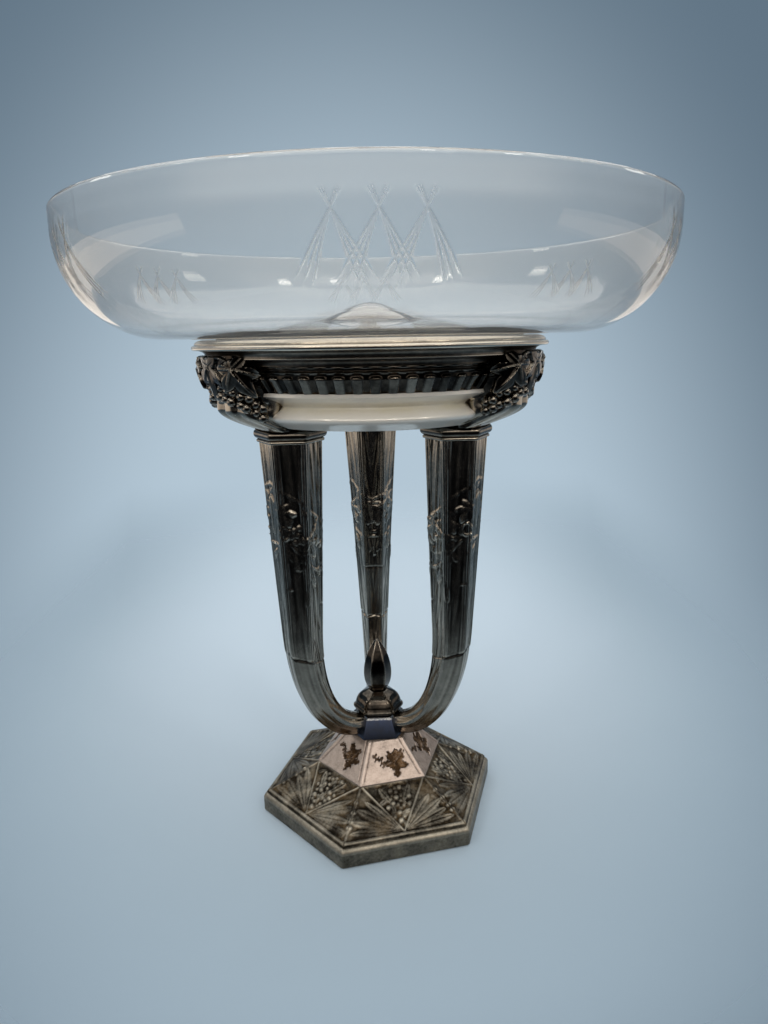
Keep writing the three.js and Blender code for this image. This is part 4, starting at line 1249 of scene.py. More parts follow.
@dataclass
class Arm:
    """An arm with its collar: six-sided, a pair of beads along every corner, and a band of vine relief."""

    STEMS = (
        (((0, 21), (8, 24), (18, 30), (30, 40), (46, 49)), 1.8, 0.4),
        (((6, 47), (9.5, 44), (12, 47), (10, 51), (7, 50)), 1.3, 1.0),
        (((12, 54), (19, 63), (26, 70), (36, 74)), 1.6, 0.6),
    )
    LEAVES = ((9, 36, 65, 9.5, 1.0), (23, 53, 70, 11, 1.1), (31, 47, 35, 10, 1.0), (38, 54, 95, 10, 1.0))
    LANCES = ((22, 66, 80, 15, 5, 0.9), (19, 78, 100, 13, 4.4, 0.8), (32, 68, 75, 14, 5, 0.8))
    BUNCH = ((14, 46), (17.5, 45), (12.5, 49.6), (16.2, 49), (14.6, 53), (18.6, 52.4), (17, 56.4))
    PANEL_RIDGES = ((49, 0.7), (68, 0.55), (71, 0.8))
    BEADS = ((0.55, 1), (1.45, 0.7))
    SECOND_BEAD = 0.55
    DRIFT = ((0.9, 17), (0.5, 7.3))
    CHASING = ((1, 1, 1), (0.6, 0.57, -1.7))

    side: Side
    top_radius: float = 50.7
    knee_radius: float = 49
    knee_rise: float = 72.5
    foot_radius: float = 8
    fullness: float = 2.25
    top_half_width: float = 16.7
    foot_half_width: float = 6.7
    width_taper: float = 1.3
    top_half_depth: float = 14.5
    foot_half_depth: float = 5.8
    depth_taper: float = 0.78
    bead_width: float = 2.1
    bead_rise: float = 0.75
    seam_outer: float = 118
    seam_inner: float = 130
    seam_dip: float = 4.5
    seam_dip_half_width: float = 7
    seam_softness: float = 0.8
    seam_cut: float = 0.4
    cut_drop: float = 0.4
    cut_width: float = 0.5
    panel_half_width: float = 8.5
    panel_foot: float = 92
    panel_cut: float = 0.3
    panel_cut_half_width: float = 8
    sunk: float = 0.5
    plain_crown: float = 0.35
    plain_edge: float = 2.2
    relief_rise: float = 1.15
    relief_left: float = 0.45
    patch_gain: float = 0.4
    patch_size: float = 12
    ground_wear: float = 0.44
    beaded_wear: float = 0.02
    rub_gain: float = 0.6
    chasing: float = 0.15
    chasing_pitch: float = 5.2
    seed: int = 5
    collar_reach: float = 19.6
    collar_waist: float = 17.2
    collar_bead: float = 18.2
    collar_bead_height: float = 1.9
    collar_bore: float = 3.4
    collar_rounding: float = 1.6
    stations: int = 300
    face_points: int = 30

    def centre_line(self, foot: float, top: float) -> tuple[Array, Array, Array]:
        """The arm's middle line from collar to hub.

        Args:
            foot: height of the arm's middle at the hub.
            top: height of its top.

        Returns:
            Points as [distance outwards, height], their directions and their distances from the top.
        """
        knee = foot + self.knee_rise
        straight = np.linspace([self.top_radius, top], [self.knee_radius, knee], 120, endpoint=False)
        angle = np.linspace(0, math.pi / 2, 240)
        power, reach = 2 / self.fullness, self.knee_radius - self.foot_radius
        bend = np.stack([self.foot_radius + reach * np.abs(np.cos(angle)) ** power,
                         knee - self.knee_rise * np.sin(angle) ** power], axis=-1)
        raw = np.vstack([straight, bend])
        run = np.concatenate([[0], np.cumsum(np.linalg.norm(np.diff(raw, axis=0), axis=1))])
        even = np.linspace(0, run[-1], self.stations)
        line = np.stack([np.interp(even, run, raw[:, 0]), np.interp(even, run, raw[:, 1])], axis=-1)
        direction = np.gradient(line, axis=0)
        direction[0], direction[-1] = (0, -1), (-1, 0)
        return line, direction / np.linalg.norm(direction, axis=1, keepdims=True), even

    def section(self, half_width: float, half_depth: float) -> tuple[Array, Array, Array]:
        """One section of the arm, flat.

        Args:
            half_width: half of its width across the corners.
            half_depth: half of its depth across the flats.

        Returns:
            Its points as [inwards, aside], how far each lies from the nearest corner, and its place round
            the arm.
        """
        corners = np.array([[half_depth, -half_width / 2], [half_depth, half_width / 2], [0, half_width],
                            [-half_depth, half_width / 2], [-half_depth, -half_width / 2], [0, -half_width]])
        even = (1 - np.cos(np.linspace(0, math.pi, self.face_points, endpoint=False))) / 2
        share = 0.55 * even + 0.45 * np.linspace(0, 1, self.face_points, endpoint=False)
        points, near, place = [], [], []
        start = 0.0
        for corner, following in zip(corners, np.roll(corners, -1, axis=0)):
            length = float(np.linalg.norm(following - corner))
            points.append(corner + (following - corner) * share[:, None])
            near.append(np.minimum(share, 1 - share) * length)
            place.append(start + share * length)
            start += length
        return np.vstack(points), np.concatenate(near), np.concatenate(place) - half_width / 2

    @staticmethod
    def strewn(first: float, second: float) -> Pair:
        """A place in the band of relief, which hangs lower towards the back of the arm."""
        aside = 92 * first - 46
        return aside, 23 + 0.6 * abs(aside) + second * (36 - 0.1 * abs(aside))

    def ornament(self, outer: Array, inner: Array, run: Array) -> Relief:
        """The vine relief on the arm.

        Args:
            outer: distance round the arm from the middle of its outer face.
            inner: distance round the arm from the middle of its inner face.
            run: distance down the arm.

        Returns:
            The relief over the whole arm, its across axis being outer.
        """
        relief = Relief(outer, run)
        rise = self.relief_rise
        relief.lance((0, 50), -90, 23, 9, rise)
        relief.ridge([(-8, 54), (8, 54)], 1.2, 0.7 * rise)
        for way in WAYS:
            for knots, width, proud in self.STEMS:
                relief.curve([(way * x, y) for x, y in knots], width, proud * rise)
            for x, y, turn, length, proud in self.LEAVES:
                relief.vine_leaf((way * x, y), mirrored(turn, way), length, proud * rise)
            for x, y, turn, length, width, proud in self.LANCES:
                relief.lance((way * x, y), mirrored(turn, way), length, width, proud * rise)
            relief.berries([(way * x, y) for x, y in self.BUNCH], 1.9, 0.34)
            relief.ridge([(way * 4, 79), (way * 10, 79.6)], 1.0, 0.5 * rise)
        relief.tangle(np.random.default_rng(self.seed), 75, self.strewn, 8, 0.7 * rise)
        panel = Relief(inner, run)
        panel.vine_leaf((-1.5, 53), 80, 8.5, rise)
        panel.berries([(3.8 - 2.0 * (i % 2), 52.5 + 2.4 * i) for i in range(6)], 1.7, 0.4)
        panel.berries([(-4.6 + 1.6 * (i % 2), 60 + 2.4 * i) for i in range(3)], 1.5, 0.4)
        panel.lance((-5.5, 50), 62, 15, 4.4, rise)
        for level, proud in self.PANEL_RIDGES:
            panel.ridge([(-9, level), (9, level)], 1.3, proud * rise)
        relief.lay(panel.height * (np.abs(inner) < self.panel_half_width))
        return relief

    def shell(self, foot: float, top: float) -> tuple[Array, ...]:
        """The plain arm.

        Args:
            foot: height of the arm's middle at the hub.
            top: height of its top.

        Returns:
            Its grid, each point's distance from the nearest corner and place round the arm, and for each
            row the distance round the arm, the distance down it and how slim it is there.
        """
        line, direction, run = self.centre_line(foot, top)
        left = 1 - run / run[-1]
        wider = self.top_half_width - self.foot_half_width
        deeper = self.top_half_depth - self.foot_half_depth
        widths = self.foot_half_width + wider * left ** self.width_taper
        depths = self.foot_half_depth + deeper * left ** self.depth_taper
        points, near, place, around = [], [], [], []
        for middle, ahead, width, depth in zip(line, direction, widths, depths):
            flat, gap, spot = self.section(width, depth)
            inward = np.array([ahead[1], -ahead[0]])
            outwards = middle[0] + inward[0] * flat[:, 0]
            points.append(np.column_stack([flat[:, 1], -outwards, middle[1] + inward[1] * flat[:, 0]]))
            near.append(gap)
            place.append(spot)
            around.append(np.linalg.norm(np.diff(np.vstack([flat, flat[:1]]), axis=0), axis=1).sum())
        slim = np.sqrt(widths / self.top_half_width)
        return (np.array(points), np.array(near), np.array(place), np.array(around)[:, None], run[:, None],
                slim[:, None])

    def build(self) -> None:
        """Casts the arm and its collar and sets them in place of their solids."""
        node = f"arm_{self.side.word}"
        hub_low, hub_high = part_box("hub_block")
        foot = (hub_low.z + hub_high.z) / 2 / MM
        grid, near, place, around, down, slim = self.shell(foot, span(node)[1])
        inner = (place + around / 2) % around - around / 2
        outer = np.where(inner > 0, inner - around / 2, inner + around / 2)
        seam = self.seam_outer + (self.seam_inner - self.seam_outer) * np.abs(outer) / (around / 2)
        seam = seam - self.seam_dip * np.clip(1 - np.abs(inner) / self.seam_dip_half_width, 0, 1)
        beaded = 1 - smooth(-self.seam_softness, self.seam_softness, down - seam)
        bead = self.bead_width * slim
        hump, second = (np.sqrt(np.clip(1 - (2 * (near - middle * bead) / (width * bead)) ** 2, 0, 1))
                        for middle, width in self.BEADS)
        edges = self.bead_rise * slim * np.maximum(hump, self.SECOND_BEAD * second)
        relief = self.ornament(outer, inner, down)
        cuts = self.seam_cut * np.exp(-((down - seam - self.cut_drop) / self.cut_width) ** 2)
        foot_line = self.panel_cut * np.exp(-((down - self.panel_foot) / self.cut_width) ** 2)
        cuts = cuts + foot_line * (np.abs(inner) < self.panel_cut_half_width)
        worn = relief.height * (self.relief_left + self.patch_gain * mottle(grid, self.patch_size, self.seed))
        plain = (1 - beaded) * self.plain_crown * smooth(0, self.plain_edge, near)
        height = beaded * np.maximum(edges, worn) + plain - cuts
        drift = sum(size * np.sin(down / length) for size, length in self.DRIFT)
        chased = sum(size * np.sin(2 * math.pi * outer / (share * self.chasing_pitch) + lean * drift)
                     for size, share, lean in self.CHASING)
        height = height + self.chasing * chased * smooth(1.0, 3.0, near)
        wear = rubbed(height, self.ground_wear + self.beaded_wear * beaded, self.rub_gain)
        Casting().grid(raised(grid, height - self.sunk), wear, capped=True).turn(self.side.value).piece(
            f"beaded_arm_{self.side.word}", node, TARNISHED_PLATE, sharp=60)
        self.build_collar()

    def build_collar(self) -> None:
        """Casts the collar: a small bead under a round hexagonal moulding."""
        node = f"arm_collar_{self.side.word}"
        foot, top = span(node)
        half = self.collar_bead_height / 2
        waist = foot + self.collar_bead_height
        torus = (top - waist) / 2
        profile, wear = joined([
            ([[self.collar_bore, foot], [self.collar_waist - 0.4, foot]], 0.2),
            (arc((self.collar_bead - half, foot + half), half, -80, 80, 8), 0.45),
            ([[self.collar_waist - 0.6, waist + 0.15]], 0.03),
            (arc((self.collar_reach - torus, waist + torus), torus, -75, 75, 10), 0.24),
            ([[self.collar_reach - torus - 0.4, top], [self.collar_bore, top]], 0.1),
        ])
        rows = hex_rows(profile, self.collar_rounding, 10)
        rows[..., 1] -= self.top_radius
        Casting().grid(rows, wear, wrap_rows=True).turn(self.side.value).piece(
            f"hexagonal_collar_{self.side.word}", node, TARNISHED_PLATE, sharp=30)


@dataclass
class HubStack:
    """What the arms grow out of: the hub block, the knob over it and the pointed finial."""

    hub_foot_reach: float = 19.9
    hub_top_reach: float = 14.8
    hub_bevel: float = 1.2
    knob_foot_reach: float = 12.5
    knob_reach: float = 16.3
    knob_top_reach: float = 6.7
    knob_foot_height: float = 2.0
    knob_girdle_height: float = 2.2
    finial_foot_reach: float = 4.8
    finial_belly_reach: float = 8.3
    finial_belly_height: float = 12.5
    finial_corner_wear: float = 0.33
    finial_face_wear: float = 0.05
    knob_swell: Pair = (1.5, 1.1)
    knob_rounding: float = 6
    rounding: float = 0.7

    def build(self) -> None:
        """Casts the three pieces and sets them in place of their solids."""
        self.hub()
        self.knob()
        self.finial()

    def hub(self) -> None:
        """The tapering block with its lightly rubbed top bevel."""
        foot, top = span("hub_block")
        wide, bevel = self.hub_foot_reach, self.hub_bevel
        side = self.hub_top_reach + (wide - self.hub_top_reach) * bevel / (top - foot)
        brim = self.hub_top_reach - bevel
        points = np.array([
            [HEX_AXIS, foot, 0.2], [wide - 0.5, foot, 0.4], [wide - 0.1, foot + 0.3, 0.5],
            [wide - 0.2, foot + 0.7, 0.25], [side + 0.1, top - bevel - 0.3, 0.3],
            [side - 0.2, top - bevel + 0.1, 0.55], [brim + 0.2, top - 0.1, 0.6], [brim - 0.2, top, 0.4],
            [HEX_AXIS, top, 0.2],
        ])
        Casting().grid(hex_rows(points[:, :2], self.rounding, 8), points[:, 2:]).piece(
            "hub_block_cast", "hub_block", BLUED_PLATE, sharp=24)

    def knob(self) -> None:
        """The bicone knob with a fillet at its girdle."""
        foot, top = span("knob")
        girdle = foot + self.knob_foot_height
        shoulder = girdle + self.knob_girdle_height
        share = np.linspace(0, 1, 12)[:, None]
        crown = np.array([self.knob_top_reach + 0.4, top - 0.4])
        brim = np.array([self.knob_reach - 1.2, shoulder + 0.4])
        swell = np.array([self.knob_swell]) * np.sin(math.pi * share)
        profile, wear = joined([
            ([[HEX_AXIS, foot]], 0.1),
            ([[self.knob_foot_reach, foot], [self.knob_foot_reach + 0.3, foot + 0.3]], 0.2),
            (arc((self.knob_reach - 1.0, girdle + 0.9), 1.0, -60, 60, 6), 0.15),
            ([[self.knob_reach - 1.0, shoulder + 0.1]], 0.05),
            (brim + (crown - brim) * share + swell, 0.1),
            ([[self.knob_top_reach - 0.4, top]], 0.25),
            ([[HEX_AXIS, top]], 0.1),
        ])
        Casting().grid(hex_rows(profile, self.knob_rounding, 8), wear).piece(
            "bicone_knob", "knob", TARNISHED_PLATE, sharp=24)

    def finial(self) -> None:
        """The pointed drop, with rubbed lines along its corners."""
        foot, top = span("finial")
        share = np.linspace(0, 1, 40)[:, None]
        bulge = 2 * self.finial_belly_reach - self.finial_foot_reach
        knots = np.array([[self.finial_foot_reach, foot],
                          [bulge, foot + self.finial_belly_height / 2],
                          [self.finial_belly_reach, foot + 2 * self.finial_belly_height], [HEX_AXIS, top]])
        line = ((1 - share) ** 3 * knots[0] + 3 * share * (1 - share) ** 2 * knots[1]
                + 3 * share ** 2 * (1 - share) * knots[2] + share ** 3 * knots[3])
        rows = hex_rows(np.vstack([[[HEX_AXIS, foot]], line]), self.rounding, 10)
        columns = rows.shape[1]
        corner = np.arange(columns) % (columns // HEX) <= CORNER_STEPS
        wear = np.where(corner, self.finial_corner_wear, self.finial_face_wear)
        Casting().grid(rows, wear[None, :]).piece("pointed_finial", "finial", TARNISHED_PLATE, sharp=24)


@dataclass
class Base:
    """The hexagonal base: round-edged plinth, a tier of leaf fans and grapes, and a smooth faceted cap."""

    FAN_LEAVES = ((6, 31, 5.2), (19.5, 30, 6.4), (34, 29, 6.6), (48, 29, 6.0))
    EDGE_BERRIES = ((29.5, 9.5), (28.2, 12.6), (25.8, 17.5), (23.2, 23.0))
    BERRY_THROWS = 900

    turn: float = 11.5
    plinth_reach: float = 73.6
    plinth_wall: float = 11
    plinth_rounds: Pair = (0.8, 2.8)
    plinth_rounding: float = 2.2
    tier_setback: float = 2.6
    tier_top_reach: float = 38.4
    tier_lip: float = 1.2
    cap_overhang: float = 0.6
    cap_edge: float = 0.2
    cap_lip: float = 0.9
    cap_top_reach: float = 20.6
    strip: float = 2.6
    strip_share: float = 0.75
    leaf_rise: float = 1.2
    relief_left: float = 0.6
    patch_gain: float = 0.4
    patch_size: float = 13
    tier_sunk: float = 0.5
    tier_wear: float = 0.17
    tier_stain: float = 0.2
    stain_size: float = 9
    proud_wear: float = 0.1
    rub_gain: float = 0.6
    cap_sink: float = 0.7
    cap_strip_inset: float = 2.2
    cap_strip_width: float = 0.4
    cap_strip_depth: float = 0.3
    cap_wear: float = 0.62
    corner_width: float = 1
    corner_wear: float = 0.7
    seed: int = 11
    tier_columns: int = 120
    tier_rows: int = 60
    cap_columns: int = 84
    cap_rows: int = 52

    def build(self) -> None:
        """Casts the three pieces and sets them in place of their solids."""
        self.plinth()
        self.tier()
        self.cap()

    def plinth(self) -> None:
        """The round-edged plinth with a groove under the tier."""
        foot, top = span("base_plinth")
        reach, inner = self.plinth_reach, self.plinth_reach - self.plinth_wall
        low_round, top_round = self.plinth_rounds
        profile, wear = joined([
            ([[inner, foot], [reach - 0.6, foot]], 0.2),
            (arc((reach - low_round, foot + low_round), low_round, -70, 0, 4), 0.4),
            (np.linspace([reach, foot + 1.6], [reach, top - 3.4], 6), 0.42),
            (arc((reach - top_round, top - top_round), top_round, 0, 84, 9), 0.6),
            ([[reach - 3.2, top - 0.1], [reach - 3.5, top - 0.9], [reach - 4.4, top - 0.9],
              [reach - 4.7, top - 0.05], [inner, top]], 0.05),
        ])
        rows = turned(hex_rows(profile, self.plinth_rounding, 24), self.turn)
        Casting().grid(rows, wear, wrap_rows=True).piece(
            "round_edged_plinth", "base_plinth", BASE_PLATE, sharp=35)

    def faces(self, foot_reach: float, top_reach: float, foot: float, top: float, columns: int,
              rows: int) -> tuple[Array, Array, Array]:
        """Six sloping faces as one grid.

        Args:
            foot_reach: corner distance of the lower edge.
            top_reach: corner distance of the upper edge.
            foot: height of the lower edge.
            top: height of the upper edge.
            columns: columns on each face.
            rows: rows up the slope.

        Returns:
            The points, and each point's place on its own face: aside from its middle and up its slope.
        """
        share = np.linspace(0, 1, columns, endpoint=False)
        up = np.linspace(0, 1, rows)[:, None]
        corners = np.radians(-30 + 60 * np.arange(HEX + 1))
        points, asides = [], []
        for first, second in zip(corners, corners[1:]):
            reach = foot_reach + (top_reach - foot_reach) * up
            start = np.stack([np.sin(first) * reach, -np.cos(first) * reach], axis=-1)
            end = np.stack([np.sin(second) * reach, -np.cos(second) * reach], axis=-1)
            flat = start + (end - start) * share[None, :, None]
            height = np.broadcast_to(foot + (top - foot) * up, flat.shape[:2])
            points.append(np.concatenate([flat, height[..., None]], axis=-1))
            asides.append((share[None, :] - 0.5) * reach)
        slope = math.hypot((foot_reach - top_reach) * HEX_FLAT, top - foot)
        grid, aside = np.concatenate(points, axis=1), np.concatenate(asides, axis=1)
        return grid, aside, np.broadcast_to(up * slope, aside.shape)

    @staticmethod
    def parts(columns: int) -> list[slice]:
        """Which columns of a grid belong to each of its six faces."""
        return [slice(face * columns, (face + 1) * columns) for face in range(HEX)]

    def lifted(self, grid: Array, columns: int, height: Array) -> Array:
        """Raises each face along its own flat normal.

        Args:
            grid: six faces side by side.
            columns: columns on each face.
            height: how far each point moves.

        Returns:
            The raised grid.
        """
        skin = grid.copy()
        for part in self.parts(columns):
            first, last, upper = grid[0, part.start], grid[0, part.stop - 1], grid[-1, part.start]
            normal = np.cross(last - first, upper - first)
            normal = normal / np.linalg.norm(normal)
            skin[:, part] += normal * height[:, part][..., None]
        return skin

    def bunch(self, slope: float, draw: np.random.Generator) -> list[tuple[float, float, float]]:
        """Berries of one bunch, thrown into the tier's middle triangle so that they touch but don't stack.

        Args:
            slope: height of the face along its slope.
            draw: source of the scatter.

        Returns:
            Each berry's place on the face and its radius.
        """
        berries: list[tuple[float, float, float]] = []
        for _ in range(self.BERRY_THROWS):
            y, radius = draw.uniform(7, slope - 3), draw.uniform(1.15, 1.95)
            x = draw.uniform(-1, 1) * min(0.5 * (y - 4), 8.5)
            if all(math.hypot(x - a, y - b) > 0.86 * (radius + c) for a, b, c in berries):
                berries.append((x, y, radius))
        return berries

    def leaf_fans(self, aside: Array, up: Array, draw: np.random.Generator) -> Array:
        """Relief of one tier face: two fans of lance leaves, grapes between them, small leaves in the gaps.

        Args:
            aside: distance from the middle of the face.
            up: distance up its slope.
            draw: source of what differs from face to face.

        Returns:
            Its height at each point.
        """
        relief = Relief(aside, up)
        slope, rise = float(up.max()), self.leaf_rise
        for way in WAYS:
            relief.ridge([(0.0, self.strip), (way * (self.tier_top_reach / 2 - 1), slope - 0.8)],
                         1.5, 0.8 * rise)
            for angle, length, width in self.FAN_LEAVES:
                turn = angle + draw.normal(0, 1.6)
                relief.lance((way * 1.6, self.strip + 0.6), mirrored(turn, way),
                             length * draw.uniform(0.86, 1.04), width * draw.uniform(0.8, 1.15),
                             rise * draw.uniform(0.6, 1.0))
            relief.lance((way * 3, slope - 14), 90 - way * 28, 13, 4.6, 0.8 * rise)
            relief.berries([(way * x, y) for x, y in self.EDGE_BERRIES], 1.25)
        for x, y, radius in self.bunch(slope, draw):
            relief.berries([(x, y)], radius, draw.uniform(0.45, 0.8))
        relief.tangle(draw, 22, lambda s, t: ((2 * s - 1) * 0.55 * (4 + 26 * t), 6 + 26 * t), 6, 0.8 * rise)
        relief.tangle(draw, 16, lambda s, t: ((1 - 2 * round(s)) * (21 + 11 * t), 20 - 13 * t), 6, 0.6 * rise)
        return relief.height

    def tier(self) -> None:
        """The tier of leaf fans, worn unevenly, with a plain strip along its foot."""
        foot, top = span("facet_tier")
        reach, columns = self.plinth_reach - self.tier_setback, self.tier_columns
        grid, aside, up = self.faces(reach, self.tier_top_reach, foot + self.tier_lip, top, columns,
                                     self.tier_rows)
        slope, rise = float(up.max()), self.leaf_rise
        draw = np.random.default_rng(self.seed)
        relief = np.concatenate([self.leaf_fans(aside[:, part], up[:, part], draw)
                                 for part in self.parts(columns)], axis=1)
        relief = relief * (self.relief_left + self.patch_gain * mottle(grid, self.patch_size, self.seed))
        flat = self.strip_share * rise * smooth(0.2, 0.7, up)
        flat = flat * (1 - smooth(self.strip - 0.6, self.strip, up))
        relief = np.maximum(relief, flat)
        edge = np.minimum(reach / 2 - (reach - self.tier_top_reach) / 2 * up / slope - np.abs(aside), up)
        edge = np.minimum(edge, slope - up)
        height = relief * smooth(0.1, 0.9, edge) - self.tier_sunk * smooth(0.4, 1.4, edge)
        ground = self.tier_wear + self.tier_stain * mottle(grid, self.stain_size, self.seed + 1)
        wear = rubbed(height, ground + self.proud_wear * smooth(0.2, rise, relief), self.rub_gain, 20)
        skin = self.lifted(grid, columns, height)
        under = skin[:1] * [1, 1, 0] + [0, 0, foot]
        rows = np.concatenate([under * [0.8, 0.8, 1], under, skin, skin[-1:] * [0.3, 0.3, 1]])
        plain = np.full((1, wear.shape[1]), 0.1)
        worn = np.concatenate([plain, plain + 0.3, wear, plain])
        Casting().grid(turned(rows, self.turn), worn, capped=True).piece(
            "leaf_fan_tier", "facet_tier", BASE_PLATE, sharp=50)

    def sprig(self, aside: Array, up: Array, draw: np.random.Generator) -> Array:
        """The sprig of one cap face: a leaf, and berries trailing from it.

        Args:
            aside: distance from the middle of the face.
            up: distance up its slope.
            draw: source of what differs from face to face.

        Returns:
            How deep each point lies in the sprig, from 0 outside it.
        """
        phase = draw.uniform(0, 6, 2)
        wobble = 0.5 * np.sin(1.5 * up + 1.1 * aside + phase[0])
        wobble = wobble + 0.35 * np.sin(2.6 * aside - 1.9 * up + phase[1])
        relief = Relief(aside + wobble, up + 0.7 * wobble)
        root = (draw.uniform(0.5, 3.5), draw.uniform(8.5, 10.5))
        turn = draw.uniform(40, 110)
        relief.vine_leaf(root, turn, draw.uniform(8.5, 10.5), 1)
        relief.lance(root, turn + draw.uniform(20, 50), 10, 4.2, 1)
        relief.lance(root, turn - draw.uniform(120, 160), 7, 3.4, 1)
        for share in np.linspace(0, 1, 12):
            x = root[0] - 11 * share + draw.normal(0, 0.7)
            y = root[1] + (3 + turn / 20) * share + draw.normal(0, 0.9)
            relief.berries([(x, y)], draw.uniform(0.8, 1.5))
        return relief.height

    def cap(self) -> None:
        """The cap: smooth sloping facets, each with a sunk vine sprig and a strip beside its corners."""
        foot, top = span("base_cap")
        reach, columns = self.tier_top_reach + self.cap_overhang, self.cap_columns
        grid, aside, up = self.faces(reach - self.cap_edge, self.cap_top_reach, foot + self.cap_lip, top,
                                     columns, self.cap_rows)
        slope = float(up.max())
        draw = np.random.default_rng(self.seed)
        sprig = np.concatenate([self.sprig(aside[:, part], up[:, part], draw)
                                for part in self.parts(columns)], axis=1)
        edge = reach / 2 - (reach - self.cap_top_reach) / 2 * up / slope - np.abs(aside)
        strip = np.exp(-((edge - self.cap_strip_inset) / self.cap_strip_width) ** 2) * smooth(0.5, 2, up)
        sunk = smooth(0.02, 0.75, sprig)
        inside = 0.8 * self.cap_sink * smooth(0.7, 1.15, sprig)
        height = -self.cap_sink * sunk + inside - self.cap_strip_depth * strip
        wear = np.clip(self.cap_wear - 0.5 * sunk + 0.3 * inside - 0.2 * strip, LEAST_WEAR, 1)
        wear = np.where(edge < self.corner_width, self.corner_wear, wear)
        skin = self.lifted(grid, columns, height)
        factor = reach / (reach - self.cap_edge)
        side = skin[:1] * [factor, factor, 1] - [0, 0, 0.15]
        under = side * [1, 1, 0] + [0, 0, foot]
        rows = np.concatenate([under * [0.5, 0.5, 1], under, side, skin, skin[-1:] * [0.4, 0.4, 1]])
        plain = np.full((1, wear.shape[1]), 0.1)
        worn = np.concatenate([plain, plain + 0.4, plain + 0.7, wear, plain + 0.4])
        Casting().grid(turned(rows, self.turn), worn, capped=True).piece(
            "faceted_cap", "base_cap", CAP_PLATE, sharp=50)


class HiddenPieces:
    """Solids that keep their shape and only get a finish: fasteners, weight and felt."""

    def dress(self) -> None:
        """Gives each hidden solid its material."""
        steel = TURNED_STEEL.material()
        finishes = {"felt_pad": WOOL_FELT.material(), "base_weight": SAND_CAST_IRON.material(),
                    "tie_washer": steel, "tie_nut": steel, "tie_rod": steel}
        for side in Side:
            for word in ("arm_stud", "arm_nut", "capital_screw"):
                finishes[f"{word}_{side.word}"] = steel
        for node, material in finishes.items():
            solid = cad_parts[node]
            solid.data.materials.clear()
            solid.data.materials.append(material)
            LOG.info("%s: %s", node, material.name)


